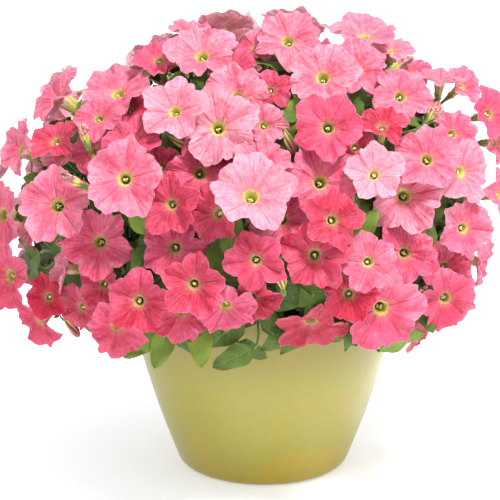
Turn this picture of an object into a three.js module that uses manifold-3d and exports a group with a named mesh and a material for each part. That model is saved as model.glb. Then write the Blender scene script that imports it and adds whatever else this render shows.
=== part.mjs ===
// A trailing petunia in a round glazed pot: a mound of five-lobed trumpet flowers on leafy stems.
// Millimetres, +Z up. The origin is the centre of the pot's flat underside, on the surface it stands on.
//
// The pot is a turned bowl with drain holes, filled with soil. Flower sprays and leafy stems stand in plain
// holes in the soil, fan out over the rim and end in the mound's skin. Each spray is one body: its stem, the
// stalks of its flowers and the flowers. Each leafy stem is one body with its leaves and its bud.

import * as THREE from "three";
import { mergeVertices } from "three/addons/utils/BufferGeometryUtils.js";
import Module from "manifold-3d";

const wasm = await Module();
wasm.setup();

// Driving dimensions.

const POT = {
  height: 165,
  baseRadius: 65, // of the flat underside
  cornerRadius: 9.5, // where the underside turns into the wall
  slopeLow: 0.395, // how far the wall runs out for each millimetre up, at the corner
  slopeHigh: 0.175, // and at the rim
  wall: 7,
  floor: 9,
  rimRounding: 3,
  sides: 36,
  drainRadius: 6,
  drainCircle: 36,
  drains: 3,
};
const SOIL = { below: 16, crown: 5, gap: 1, sides: 16 };
const INNER_BEND = 70; // height at which the inner wall's slope changes
const CLEARANCE = 0.35; // left between two bodies that would touch
const WIRE_INSET = 0.05; // of a stalk inside the flower or leaf that it carries

// The mound that the flowers' throats lie on, and the line of sight that the front flowers were read along.
const MOUND = { centre: new THREE.Vector3(-11.5, 0, 218), axes: new THREE.Vector3(208, 198, 156) };
const LOWEST_THROAT = 128;
const VIEW = {
  aim: new THREE.Vector3(-11.5, 0, 187),
  elevation: THREE.MathUtils.degToRad(16),
  distance: 1870,
  scale: 0.85, // millimetres for one step of the reading grid
  middle: 250, // of the reading grid, across and down
};

// Flowers.
const THROAT_SHARE = 0.17; // the throat's radius, as a share of the flower's
const DISH_SHARE = 0.27; // how far the rim stands forward of the throat
const TUBE_SHARE = 0.95; // how far the tube runs back
const NOTCH_SHARE = 0.86; // the rim's radius between two lobes
const LIMB_ROOT = 2.6; // thickness of the limb at the throat; it thins to the rim's edge
const TUBE_FOOT = 1.9;
const ROOT_RADIUS = 0.8; // of a stalk where it is sunk in its stem
const STEM_RADIUS = 3.2;
const LOBES = 5;
const PETAL_GAP = 2.4; // between one flower's limb and the next below it
const MOST_SINK = { front: 38, rest: 24 }; // that a crowded flower sits below the mound's skin
const SETTLE = { rounds: 16, step: 2.5, enough: 0.05 }; // by which crowded flowers are sunk
const MOST_BEND = 16; // that a rim's edge is pressed back by the flower over it

// Leaves and buds. Width, arch and wave are shares of the leaf's length.
const LEAF = { width: 0.56, thickness: 1.7, wave: 0.05, arch: 0.1, sink: 10, mostSink: 42 };
const LEAF_SETTLE = { rounds: 14, step: 3, enough: 0.05 };
const BUD_RADIUS = 3.8;
const TWIG_RADIUS = 1.3;

// Seeded draws: the same numbers on every run.
class Draws {
  constructor(seed) {
    this.state = (seed * 7919 + 12345) >>> 0;
    this.next();
    this.next();
  }

  // A number from 0 up to 1.
  next() {
    this.state = (Math.imul(this.state, 1664525) + 1013904223) >>> 0;
    return this.state / 4294967296;
  }

  // A number between low and high.
  between(low, high) {
    return low + (high - low) * this.next();
  }
}

// Solids.

// A closed geometry as a manifold solid.
function solidOf(geometry) {
  const bare = geometry.clone();
  bare.deleteAttribute("normal");
  bare.deleteAttribute("uv");
  const merged = mergeVertices(bare, 1e-4);
  return new wasm.Manifold(
    new wasm.Mesh({
      numProp: 3,
      vertProperties: merged.attributes.position.array,
      triVerts: new Uint32Array(merged.index.array),
    }),
  );
}

// A manifold solid as a geometry.
function geometryOf(solid) {
  const mesh = solid.getMesh();
  const positions = new Float32Array(mesh.numVert * 3);
  for (let i = 0; i < mesh.numVert; i++) {
    positions.set(mesh.vertProperties.subarray(i * mesh.numProp, i * mesh.numProp + 3), i * 3);
  }
  const geometry = new THREE.BufferGeometry();
  geometry.setAttribute("position", new THREE.BufferAttribute(positions, 3));
  geometry.setIndex(new THREE.BufferAttribute(new Uint32Array(mesh.triVerts), 1));
  geometry.computeVertexNormals();
  return geometry;
}

// The largest of a solid's separate bodies: loose scraps are dropped.
function largestBody(solid) {
  return solid.decompose().reduce((a, b) => (b.volume() > a.volume() ? b : a));
}

// A skin under construction. It is made of rings of points, each { points, turns } with every point's turn,
// from 0 to 1, counted anticlockwise seen from the end that the skin starts at.
class Skin {
  constructor() {
    this.positions = [];
    this.index = [];
  }

  // Adds a ring's points and gives the ring with the numbers of its points.
  add(ring) {
    const first = this.positions.length / 3;
    for (const p of ring.points) this.positions.push(p.x, p.y, p.z);
    return { turns: ring.turns, ids: ring.points.map((_, i) => first + i) };
  }

  // Closes a ring with a fan. It faces the skin's start, or its end if turned.
  cap(ring, turned) {
    for (let i = 1; i + 1 < ring.ids.length; i++) {
      const [a, b, c] = [ring.ids[0], ring.ids[i], ring.ids[i + 1]];
      this.index.push(...(turned ? [a, c, b] : [a, b, c]));
    }
  }

  // Joins two rings by a band of triangles. A ring of one point is a tip.
  band(inner, outer) {
    const [n, m] = [inner.ids.length, outer.ids.length];
    const turnOf = (ring, i) => ring.turns[i % ring.ids.length] + Math.floor(i / ring.ids.length);
    const innerSteps = n === 1 ? 0 : n;
    const outerSteps = m === 1 ? 0 : m;
    let [i, j] = [0, 0];
    while (i < innerSteps || j < outerSteps) {
      const a = inner.ids[i % n];
      const b = outer.ids[j % m];
      if (j < outerSteps && (i >= innerSteps || turnOf(outer, j + 1) <= turnOf(inner, i + 1))) {
        this.index.push(a, b, outer.ids[(j + 1) % m]);
        j++;
      } else {
        this.index.push(a, b, inner.ids[(i + 1) % n]);
        i++;
      }
    }
  }

  // Adds rings joined by bands, with a cap on the first one, and gives the last one.
  chain(rings) {
    const added = rings.map((ring) => this.add(ring));
    this.cap(added[0], false);
    for (let k = 0; k + 1 < added.length; k++) this.band(added[k], added[k + 1]);
    return added[added.length - 1];
  }

  geometry() {
    const geometry = new THREE.BufferGeometry();
    geometry.setAttribute("position", new THREE.Float32BufferAttribute(this.positions, 3));
    geometry.setIndex(this.index);
    return geometry;
  }
}

// A closed solid through rings of points.
function solidThrough(rings) {
  const skin = new Skin();
  skin.cap(skin.chain(rings), true);
  return solidOf(skin.geometry());
}

// A ring of count points round a centre, square to a direction, anticlockwise seen from where it points.
function ringRound(centre, direction, sideways, radius, count) {
  const along = direction.clone().normalize();
  const side = sideways.clone().addScaledVector(along, -along.dot(sideways)).normalize();
  const across = along.clone().cross(side);
  const points = [];
  const turns = [];
  for (let i = 0; i < count; i++) {
    const angle = (2 * Math.PI * i) / count;
    points.push(
      centre
        .clone()
        .addScaledVector(side, radius * Math.cos(angle))
        .addScaledVector(across, radius * Math.sin(angle)),
    );
    turns.push(i / count);
  }
  return { points, turns };
}

// The pot and its soil.

// The pot's outer radius at a height above the corner.
function potRadius(height) {
  const lean = Math.atan(POT.slopeLow);
  const cornerTop = POT.cornerRadius * (1 - Math.sin(lean));
  const start = POT.baseRadius + POT.cornerRadius * Math.cos(lean);
  const rise = height - cornerTop;
  const bend = (POT.slopeHigh - POT.slopeLow) / (2 * (POT.height - cornerTop));
  return start + POT.slopeLow * rise + bend * rise * rise;
}

// A solid turned round Z from a profile of [radius, height] points that starts and ends on the axis.
function turned(profile, sides) {
  const points = profile.map(([radius, height]) => new THREE.Vector2(radius, height));
  return solidOf(new THREE.LatheGeometry(points, sides).rotateX(Math.PI / 2));
}

const soilRim = POT.height - SOIL.below;

function makePot() {
  const wallHeights = [40, 100];
  const corner = [0, 0.5, 1].map((share) => {
    const angle = -Math.PI / 2 + share * (Math.PI / 2 - Math.atan(POT.slopeLow));
    return [
      POT.baseRadius + POT.cornerRadius * Math.cos(angle),
      POT.cornerRadius * (1 + Math.sin(angle)),
    ];
  });
  const rim = POT.height - POT.rimRounding;
  const top = potRadius(POT.height);
  const profile = [
    [0, 0],
    ...corner,
    ...wallHeights.map((height) => [potRadius(height), height]),
    [potRadius(rim), rim],
    [top - POT.rimRounding, POT.height],
    [top - POT.wall + 1, POT.height],
    [potRadius(rim) - POT.wall, rim],
    [potRadius(soilRim) - POT.wall, soilRim],
    [potRadius(INNER_BEND) - POT.wall, INNER_BEND],
    [potRadius(POT.floor) - POT.wall - 2, POT.floor],
    [0, POT.floor],
  ];
  let pot = turned(profile, POT.sides);
  for (let i = 0; i < POT.drains; i++) {
    const angle = (2 * Math.PI * i) / POT.drains;
    const drain = new THREE.CylinderGeometry(POT.drainRadius, POT.drainRadius, 4 * POT.floor, 12)
      .rotateX(Math.PI / 2)
      .translate(POT.drainCircle * Math.cos(angle), POT.drainCircle * Math.sin(angle), 0);
    pot = pot.subtract(solidOf(drain));
  }
  return pot;
}

// The height of the soil's top at a distance from the axis.
function soilHeight(radius) {
  const share = radius / (potRadius(soilRim) - POT.wall);
  return soilRim + SOIL.crown * (1 - share * share);
}

function makeSoil(stems) {
  const inner = (height) => potRadius(height) - POT.wall - SOIL.gap;
  const top = [1, 0.55].map((share) => share * inner(soilRim));
  const profile = [
    [0, POT.floor + SOIL.gap],
    [potRadius(POT.floor) - POT.wall - 2 - 2 * SOIL.gap, POT.floor + SOIL.gap],
    [inner(INNER_BEND), INNER_BEND],
    ...top.map((radius) => [radius, soilHeight(radius)]),
    [0, soilHeight(0)],
  ];
  const soil = turned(profile, SOIL.sides);
  return stems.reduce((left, stem) => left.subtract(stemSolid(stem, CLEARANCE)), soil);
}

// The flowers seen from the front: [across, down, width, turn, tilt, depth of colour, layer]. Across, down and
// width are steps of the reading grid, turn is degrees to the right and tilt degrees up from the line of
// sight, and layer 0 lies on top.
const FRONT_FLOWERS = [
  [202, 57, 70, -5, 38, 0.25, 0],
  [190, 33, 44, 0, 65, 0.3, 2],
  [159, 61, 52, -15, 42, 0.55, 1],
  [117, 93, 72, -20, 45, 0.3, 1],
  [60, 100, 62, -62, 32, 0.35, 1],
  [56, 142, 52, -25, 40, 0.8, 0],
  [99, 119, 48, -10, 35, 0.4, 0],
  [127, 108, 44, -10, 40, 0.75, 2],
  [175, 112, 62, -10, 28, 0.12, 0],
  [218, 127, 74, 0, 10, 0.08, 0],
  [237, 96, 66, 0, 30, 0.25, 1],
  [231, 66, 48, 0, 50, 0.6, 2],
  [131, 144, 56, -10, 35, 0.6, 1],
  [125, 179, 73, -5, 8, 0.3, 0],
  [199, 172, 63, 5, 5, 0.5, 1],
  [160, 166, 44, 0, 0, 0.7, 2],
  [94, 151, 50, -40, 15, 0.6, 2],
  [62, 152, 46, -50, 20, 0.25, 1],
  [22, 150, 52, -55, 15, 0.3, 1],
  [58, 206, 70, -15, 8, 0.3, 0],
  [3, 215, 75, -45, 5, 0.35, 1],
  [288, 42, 64, 0, 30, 0.25, 0],
  [323, 78, 70, -5, 25, 0.22, 0],
  [357, 70, 62, 8, 30, 0.35, 1],
  [364, 38, 71, 0, 60, 0.25, 1],
  [400, 97, 58, 12, 22, 0.3, 0],
  [328, 128, 66, 0, 8, 0.6, 0],
  [382, 128, 50, 5, 52, 0.9, 0],
  [488, 114, 54, 40, 10, 0.55, 0],
  [440, 82, 48, 25, 72, 0.3, 1],
  [465, 84, 46, 45, 30, 0.35, 2],
  [356, 147, 42, 20, 20, 0.65, 2],
  [427, 160, 64, 8, 20, 0.35, 0],
  [374, 175, 54, 5, 18, 0.0, 0],
  [321, 182, 72, 5, 12, 0.35, 1],
  [452, 134, 50, 30, 25, 0.35, 1],
  [460, 172, 64, 40, 5, 0.2, 0],
  [406, 195, 74, 5, 5, 0.2, 0],
  [271, 89, 40, 5, 25, 0.65, 2],
  [256, 46, 42, -20, 35, 0.4, 1],
  [264, 124, 46, 5, 20, 0.25, 2],
  [261, 163, 52, 0, 45, 0.25, 1],
  [251, 197, 80, 5, 32, 0.12, 0],
  [171, 204, 56, -15, -5, 0.8, 1],
  [218, 213, 58, -38, 0, 0.8, 1],
  [98, 242, 68, -12, 0, 0.45, 0],
  [174, 248, 62, -10, -10, 0.55, 1],
  [194, 284, 58, -5, -5, 0.75, 0],
  [11, 276, 72, -45, -5, 0.35, 1],
  [49, 297, 44, -20, -5, 0.85, 0],
  [41, 321, 56, -50, -35, 0.35, 1],
  [102, 285, 48, -20, -20, 0.6, 1],
  [139, 301, 60, -8, -5, 0.65, 0],
  [80, 308, 50, -40, -25, 0.5, 1],
  [117, 326, 58, -10, -30, 0.35, 0],
  [180, 312, 60, 0, -25, 0.4, 1],
  [64, 268, 52, -72, 10, 0.2, 1],
  [251, 298, 60, 0, -42, 0.75, 1],
  [226, 306, 58, 5, -45, 0.3, 0],
  [256, 260, 56, -5, -3, 0.7, 0],
  [283, 219, 60, 0, 0, 0.4, 1],
  [332, 220, 56, 10, 8, 0.85, 0],
  [315, 255, 64, 0, -3, 0.75, 0],
  [368, 262, 54, 5, -3, 0.3, 0],
  [407, 253, 62, 8, 0, 0.45, 1],
  [464, 228, 60, 25, 0, 0.3, 0],
  [349, 294, 54, 2, -8, 0.85, 0],
  [381, 308, 76, 10, -15, 0.22, 0],
  [445, 298, 62, 20, -20, 0.4, 1],
  [447, 267, 52, 15, -5, 0.4, 2],
  [478, 262, 48, 72, -12, 0.3, 0],
  [312, 322, 68, 0, -60, 0.7, 0],
  [498, 195, 50, 55, 5, 0.35, 1],
  [497, 142, 44, 55, 0, 0.3, 2],
  [392, 52, 44, 15, 50, 0.2, 2],
  [412, 74, 44, 15, 40, 0.35, 2],
];

// The unit vectors of the line of sight: right, up, and back towards the viewer.
const SIGHT = {
  right: new THREE.Vector3(1, 0, 0),
  up: new THREE.Vector3(0, Math.sin(VIEW.elevation), Math.cos(VIEW.elevation)),
  back: new THREE.Vector3(0, -Math.cos(VIEW.elevation), Math.sin(VIEW.elevation)),
};

// Where the line of sight through a point of the reading grid meets the mound. A line that passes beside the
// mound gives the point where it comes nearest.
function onMound(across, down) {
  const eye = VIEW.aim.clone().addScaledVector(SIGHT.back, VIEW.distance);
  const ray = SIGHT.back
    .clone()
    .multiplyScalar(-VIEW.distance)
    .addScaledVector(SIGHT.right, (across - VIEW.middle) * VIEW.scale)
    .addScaledVector(SIGHT.up, (VIEW.middle - down) * VIEW.scale);
  const from = eye.clone().sub(MOUND.centre).divide(MOUND.axes);
  const step = ray.clone().divide(MOUND.axes);
  const a = step.dot(step);
  const b = from.dot(step);
  const c = from.dot(from) - 1;
  const inside = Math.max(0, b * b - a * c);
  return eye.addScaledVector(ray, (-b - Math.sqrt(inside)) / a);
}

// The mound's outward direction at a point on or near it.
function moundNormal(point) {
  return point.clone().sub(MOUND.centre).divide(MOUND.axes).divide(MOUND.axes).normalize();
}

// A point of the mound: turn is the angle round Z, level runs from -1 at its bottom to 1 at its top.
function moundPoint(turn, level) {
  const round = Math.sqrt(1 - level * level);
  return new THREE.Vector3(round * Math.cos(turn), round * Math.sin(turn), level)
    .multiply(MOUND.axes)
    .add(MOUND.centre);
}

const GOLDEN_TURN = Math.PI * (3 - Math.sqrt(5));

// Points spread evenly over the mound above a height, by the golden turn.
function spreadOverMound(count, lowest, firstTurn) {
  const bottom = (lowest - MOUND.centre.z) / MOUND.axes.z;
  return Array.from({ length: count }, (_, i) =>
    moundPoint(firstTurn + i * GOLDEN_TURN, 1 - ((i + 0.5) / count) * (1 - bottom)),
  );
}

// A flower: where its throat is, the way it faces, its radius, how deep its colour is, the way from its axis
// to a notch, and the way it gives when it is crowded.
function flowerAt(throat, facing, radius, depth, spin, giving, mostSink) {
  const level = new THREE.Vector3(0, 0, 1).cross(facing).normalize();
  const side = level.applyAxisAngle(facing, spin);
  const up = facing.clone().cross(side);
  return { throat, facing, side, up, radius, depth, spin, giving, mostSink };
}

function frontFlowers() {
  const layered = FRONT_FLOWERS.map((row, i) => ({ row, i }));
  layered.sort((a, b) => a.row[6] - b.row[6] || a.i - b.i);
  return layered.map(({ row, i }) => {
    const [across, down, width, turn, tilt, depth] = row;
    const yaw = THREE.MathUtils.degToRad(turn);
    const pitch = THREE.MathUtils.degToRad(tilt);
    const facing = new THREE.Vector3()
      .addScaledVector(SIGHT.back, Math.cos(pitch) * Math.cos(yaw))
      .addScaledVector(SIGHT.right, Math.cos(pitch) * Math.sin(yaw))
      .addScaledVector(SIGHT.up, Math.sin(pitch));
    const spin = new Draws(100 + i).between(0, (2 * Math.PI) / LOBES);
    const giving = SIGHT.back.clone().negate();
    const radius = (width / 2) * VIEW.scale;
    return flowerAt(onMound(across, down), facing, radius, depth, spin, giving, MOST_SINK.front);
  });
}

const SPREAD_FLOWERS = 120;
const MOST_SEEN = 0.3; // how far a place may face the viewer, where all flowers are read already
const CROWDING = 0.8; // two flowers' radii together, times this, is the least distance between them
const REST_RADIUS = { least: 26, most: 31, moreAbove: 3 };
const FROM_RIM = { outside: 8, above: 10 }; // a flower's foot isn't nearer to the pot's rim than that

// The flowers that the front ones don't show: spread evenly over the rest of the mound.
function restFlowers(front) {
  const rest = [];
  spreadOverMound(SPREAD_FLOWERS, LOWEST_THROAT, 0).forEach((throat, i) => {
    const draws = new Draws(500 + i);
    const low = 1 - (throat.z - LOWEST_THROAT) / (MOUND.centre.z + MOUND.axes.z - LOWEST_THROAT);
    const { least, most, moreAbove } = REST_RADIUS;
    const radius = draws.between(least, most) + moreAbove * (1 - low) * draws.next();
    const depth = Math.min(0.95, draws.next() * draws.next() + 0.45 * low * draws.next());
    const outward = new THREE.Vector3(throat.x, throat.y, 0).normalize();
    const facing = moundNormal(throat)
      .addScaledVector(outward, 0.4)
      .add(new THREE.Vector3(draws.between(-0.2, 0.2), draws.between(-0.2, 0.2), draws.between(-0.25, 0.2)))
      .normalize();
    const spin = draws.between(0, (2 * Math.PI) / LOBES);
    const crowded = front.some(
      (f) => f.throat.distanceTo(throat) < CROWDING * (f.radius + radius),
    );
    const seen = moundNormal(throat).dot(SIGHT.back) > MOST_SEEN;
    const foot = throat.clone().addScaledVector(facing, -TUBE_SHARE * radius);
    const inside = Math.hypot(foot.x, foot.y) < potRadius(POT.height) + FROM_RIM.outside;
    const onRim = inside && foot.z < POT.height + FROM_RIM.above;
    if (crowded || seen || onRim) return;
    const giving = facing.clone().negate();
    rest.push(flowerAt(throat, facing, radius, depth, spin, giving, MOST_SINK.rest));
  });
  return rest;
}

// How far a flower's limb stands forward of its throat at a distance from its axis.
function limbHeight(flower, distance) {
  const share = Math.max(0, (distance / flower.radius - THROAT_SHARE) / (1 - THROAT_SHARE));
  return DISH_SHARE * flower.radius * share;
}

// Points of a flower's limb that stand for it, on circles at some shares of its radius.
function limbPoints(flower, shares) {
  const points = [];
  for (const share of shares) {
    for (let k = 0; k < 12; k++) {
      const angle = (2 * Math.PI * k) / 12;
      const distance = share * flower.radius;
      points.push(
        flower.throat
          .clone()
          .addScaledVector(flower.side, distance * Math.cos(angle))
          .addScaledVector(flower.up, distance * Math.sin(angle))
          .addScaledVector(flower.facing, limbHeight(flower, distance)),
      );
    }
  }
  return points;
}

// The height of a point over a flower's limb, or nothing where the point isn't over the limb or its margin.
function heightOver(flower, point, margin) {
  const offset = point.clone().sub(flower.throat);
  const height = offset.dot(flower.facing);
  const distance = Math.sqrt(Math.max(0, offset.lengthSq() - height * height));
  if (distance > flower.radius + margin || distance < THROAT_SHARE * flower.radius) return null;
  return height - limbHeight(flower, distance);
}

// How far points have to give, along a direction, to lie below the limbs of some flowers.
function needBelow(points, giving, above, margin) {
  let need = 0;
  for (const other of above) {
    const agreement = -other.facing.dot(giving);
    if (agreement < 0.3) continue;
    for (const point of points) {
      const height = heightOver(other, point, margin);
      if (height !== null) need = Math.max(need, (height + PETAL_GAP + margin) / agreement);
    }
  }
  return need;
}

// Sinks each flower until the inner part of its limb lies below the limbs of those placed before it, and
// their rims lie above it. Its own rim is then bent below them.
function settle(flowers) {
  flowers.forEach((flower, i) => {
    const reach = (other) => flower.throat.distanceTo(other.throat) - flower.radius - other.radius;
    const before = flowers.slice(0, i).filter((other) => reach(other) < 0);
    let sunk = 0;
    for (let round = 0; round < SETTLE.rounds && sunk < flower.mostSink; round++) {
      let need = needBelow(limbPoints(flower, [0.2, 0.5, 0.8]), flower.giving, before, 0);
      for (const other of before) {
        if (other.facing.dot(flower.facing) < 0) continue;
        for (const point of limbPoints(other, [0.6, 1])) {
          const height = heightOver(flower, point, 0);
          if (height !== null) need = Math.max(need, PETAL_GAP - height);
        }
      }
      if (need < SETTLE.enough) break;
      const step = Math.min(need, SETTLE.step, flower.mostSink - sunk);
      flower.throat.addScaledVector(flower.giving, step);
      sunk += step;
    }
    flower.above = before.filter((other) => other.facing.dot(flower.facing) > 0.1);
  });
  return flowers;
}

// A rim point bent back below the limbs of the flowers above it.
function bentBelow(flower, point) {
  const bent = point.clone();
  for (const other of flower.above) {
    const height = heightOver(other, bent, 1);
    if (height !== null && height > -PETAL_GAP && height + PETAL_GAP < MOST_BEND) {
      bent.addScaledVector(other.facing, -height - PETAL_GAP);
    }
  }
  return bent;
}

// Where a flower's tube ends and its stalk begins.
function tubeFoot(flower) {
  return flower.throat.clone().addScaledVector(flower.facing, -TUBE_SHARE * flower.radius);
}

// A ring of points round a flower's axis, from a notch on. radiusAt and heightAt take the point's angle.
function flowerRing(flower, count, start, radiusAt, heightAt) {
  const points = [];
  const turns = [];
  for (let i = 0; i < count; i++) {
    const turn = (i + start) / count;
    const angle = 2 * Math.PI * turn;
    const radius = radiusAt(angle);
    points.push(
      flower.throat
        .clone()
        .addScaledVector(flower.side, radius * Math.cos(angle))
        .addScaledVector(flower.up, radius * Math.sin(angle))
        .addScaledVector(flower.facing, heightAt(angle)),
    );
    turns.push(turn);
  }
  return { points, turns };
}

const RIM_POINTS = 3 * LOBES;

// The radius of the limb's rim: full across each lobe, drawn in at the notch between two.
function rimRadius(flower, angle) {
  const lobe = Math.abs(Math.sin((LOBES * angle) / 2));
  return flower.radius * (NOTCH_SHARE + (1 - NOTCH_SHARE) * Math.pow(lobe, 0.55));
}

// How far the rim stands forward: the whole rim waves, and each lobe's middle leans back.
function rimHeight(flower, angle) {
  const wave = Math.sin(2 * angle + 3 * flower.spin) + Math.sin(3 * angle + 5 * flower.spin);
  const lobe = Math.abs(Math.sin((LOBES * angle) / 2));
  return flower.radius * (DISH_SHARE + 0.035 * wave + 0.05 * (0.5 - lobe));
}

// The rings of a flower's tube, from the limb's back to its foot.
function tubeRings(flower, grow) {
  const throat = THROAT_SHARE * flower.radius + 1 + grow;
  const towards = tubeFoot(flower).sub(flower.root).normalize().add(flower.facing);
  return [
    flowerRing(flower, LOBES, 0.5, () => throat, () => -LIMB_ROOT - grow),
    ringRound(tubeFoot(flower), towards, flower.side, TUBE_FOOT + grow, 3),
  ];
}

// The rings of the dished limb, from the throat's bottom out to the rim.
function limbRings(flower, grow) {
  const throat = THROAT_SHARE * flower.radius;
  const apex = flower.throat.clone().addScaledVector(flower.facing, -1.6 * throat + grow);
  const rim = (side) => {
    const ring = flowerRing(
      flower,
      RIM_POINTS,
      0,
      (angle) => rimRadius(flower, angle) + grow,
      (angle) => rimHeight(flower, angle),
    );
    const points = ring.points.map((p) =>
      bentBelow(flower, p).addScaledVector(flower.facing, side * grow),
    );
    return { points, turns: ring.turns };
  };
  return [
    { points: [apex], turns: [0] },
    flowerRing(flower, LOBES, 0.5, () => throat - grow, () => grow),
    ...(grow > 0 ? [rim(1), rim(-1)] : [rim(0)]),
  ];
}

// Stems.

// Turns of a stem's root round the soil, in radians, in the order they are tried.
const STEM_TRIES = [0, 0.08, -0.08, 0.16, -0.16, 0.24, -0.24, 0.32, -0.32, 0.42, -0.42, 0.55, -0.55];
const SAMPLE = 3; // spacing of the points that stand for a stem or a stalk
const ENOUGH_ROOM = 10; // beyond it a way isn't any better
const BETTER = 0.5; // by how much more room a later way is taken
const FROM_WALL = 12; // of a stem's root in the soil, at least
const SUNK_IN_SOIL = 8;
const STEM_BEND = { share: 0.62, lift: 12, lowBy: 45, overRim: 0.85 };

// Points along a straight stretch.
function samplesBetween(a, b) {
  const count = Math.max(2, Math.ceil(a.distanceTo(b) / SAMPLE));
  return Array.from({ length: count + 1 }, (_, i) => a.clone().lerp(b, i / count));
}

// Of several ways, the one that stays clearest of the points already taken.
function clearest(ways, taken) {
  let best = null;
  let bestRoom = -1;
  for (const way of ways) {
    let room = ENOUGH_ROOM;
    for (const point of way.samples) {
      for (const other of taken) room = Math.min(room, point.distanceTo(other.point));
    }
    if (room > bestRoom + BETTER) {
      bestRoom = room;
      best = way;
    }
  }
  return best;
}

// A stem's path: up from the soil, over the rim where it ends low, and out to its end.
function stemPath(end, rootShare, bend) {
  const turn = Math.atan2(end.y, end.x) + bend;
  const reach = Math.hypot(end.x, end.y);
  const root = Math.min(potRadius(soilRim) - POT.wall - FROM_WALL, 4 + rootShare * reach);
  const start = new THREE.Vector3(root * Math.cos(turn), root * Math.sin(turn), soilRim - SUNK_IN_SOIL);
  const { share, lift, lowBy, overRim } = STEM_BEND;
  const low = Math.max(0, POT.height + lowBy - end.z);
  const middle = start.clone().lerp(end, 0.5);
  middle.z = start.z + share * (end.z - start.z) + lift + overRim * low;
  return new THREE.QuadraticBezierCurve3(start, middle, end);
}

// Grows a stem to one of some ends: of some ways round the soil, the clearest.
function growStem(ends, shares, taken) {
  const ways = ends.flatMap((end) =>
    shares.flatMap((share) =>
      STEM_TRIES.map((bend) => {
        const path = stemPath(end, share, bend);
        return { path, samples: path.getPoints(Math.ceil(path.getLength() / SAMPLE)) };
      }),
    ),
  );
  return clearest(ways, taken);
}

// The ring of a stem at a place along its path.
function stemRing(stem, t, grow) {
  const along = stem.path.getPoint(1).sub(stem.path.getPoint(0));
  const side = new THREE.Vector3(0, 0, 1).cross(along);
  const radius = STEM_RADIUS * (1 - 0.3 * t) + grow;
  return ringRound(stem.path.getPoint(t), stem.path.getTangent(t).negate(), side, radius, 3);
}

// The places of a stem's rings: its ends, a bend between, and both ends of each joint.
function stemStations(stem) {
  const joints = stem.items.flatMap((item) => [item.joint, item.joint + JOINT]);
  const places = [0, 0.22, ...joints, 1].map((t) => Math.round(t * 1000) / 1000);
  return [...new Set(places)].toSorted((a, b) => a - b);
}

function stemSolid(stem, grow) {
  return solidThrough(stemStations(stem).map((t) => stemRing(stem, t, grow)));
}

// Leaves.

// Leaves seen between the front flowers: [across, down, pointing, length]. Across, down and length are steps
// of the reading grid, pointing is degrees anticlockwise from the right.
const FRONT_LEAVES = [
  [50, 236, 165, 44],
  [62, 253, 200, 42],
  [45, 263, 220, 36],
  [136, 215, 100, 46],
  [140, 238, 55, 42],
  [133, 260, 250, 38],
  [95, 200, 150, 42],
  [203, 246, 70, 46],
  [213, 264, 300, 38],
  [232, 236, 80, 46],
  [292, 103, 70, 46],
  [298, 136, 105, 42],
  [302, 162, 60, 36],
  [346, 100, 130, 42],
  [362, 94, 80, 46],
  [374, 108, 30, 42],
  [357, 203, 110, 46],
  [366, 226, 60, 42],
  [290, 251, 80, 46],
  [327, 300, 330, 38],
  [446, 206, 70, 44],
  [437, 233, 110, 42],
  [426, 313, 290, 46],
  [222, 152, 20, 44],
  [141, 342, 215, 50],
  [161, 348, 250, 46],
  [200, 345, 275, 48],
  [275, 333, 280, 50],
  [354, 332, 290, 46],
  [84, 262, 240, 40],
  [413, 225, 80, 40],
  [40, 180, 170, 40],
  [150, 85, 110, 40],
];

// Buds seen between the front flowers, read in the same way.
const FRONT_BUDS = [
  [291, 127, 285, 34],
  [283, 285, 100, 26],
  [174, 131, 320, 40],
  [87, 132, 130, 24],
  [403, 61, 18, 38],
  [315, 305, 75, 30],
  [42, 248, 170, 30],
  [433, 112, 60, 28],
];

// A leaf or a bud: its base, the way it points, the way its upper side faces, and its length.
function growth(kind, middle, along, normal, length, seed) {
  const draws = new Draws(seed);
  const upper = normal.clone().addScaledVector(along, -normal.dot(along)).normalize();
  const across = upper.clone().cross(along);
  const base = middle.clone().addScaledVector(along, -length / 2);
  return { kind, base, along, upper, across, length, phase: draws.between(0, 6), tone: draws.next() };
}

const FORESHORTENING = 0.88; // of the lengths read for leaves and buds, which their sinking makes shorter

// A leaf or a bud read from the front.
function frontGrowth(kind, row, seed) {
  const [across, down, pointing, length] = row;
  const angle = THREE.MathUtils.degToRad(pointing);
  const spot = onMound(across, down);
  const along = new THREE.Vector3()
    .addScaledVector(SIGHT.right, Math.cos(angle))
    .addScaledVector(SIGHT.up, Math.sin(angle))
    .addScaledVector(moundNormal(spot), 0.35)
    .normalize();
  const normal = SIGHT.back.clone().add(new THREE.Vector3(0, 0, 0.5)).addScaledVector(moundNormal(spot), 0.5);
  const middle = spot.addScaledVector(SIGHT.back, -LEAF.sink);
  const size = FORESHORTENING * length * VIEW.scale;
  return { ...growth(kind, middle, along, normal, size, seed), isFront: true };
}

const SPREAD_LEAVES = 106;
const TUBE_ROOM = 6; // between a leaf's points and a flower's tube
const LEAF_SPACING = 33;
const LEAF_ROOM = 0.82; // a leaf's spot is at least this share of a flower's radius away from its throat
const BUD_EVERY = 7; // of the leaves that fill the rest of the mound, every so many is a bud

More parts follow.
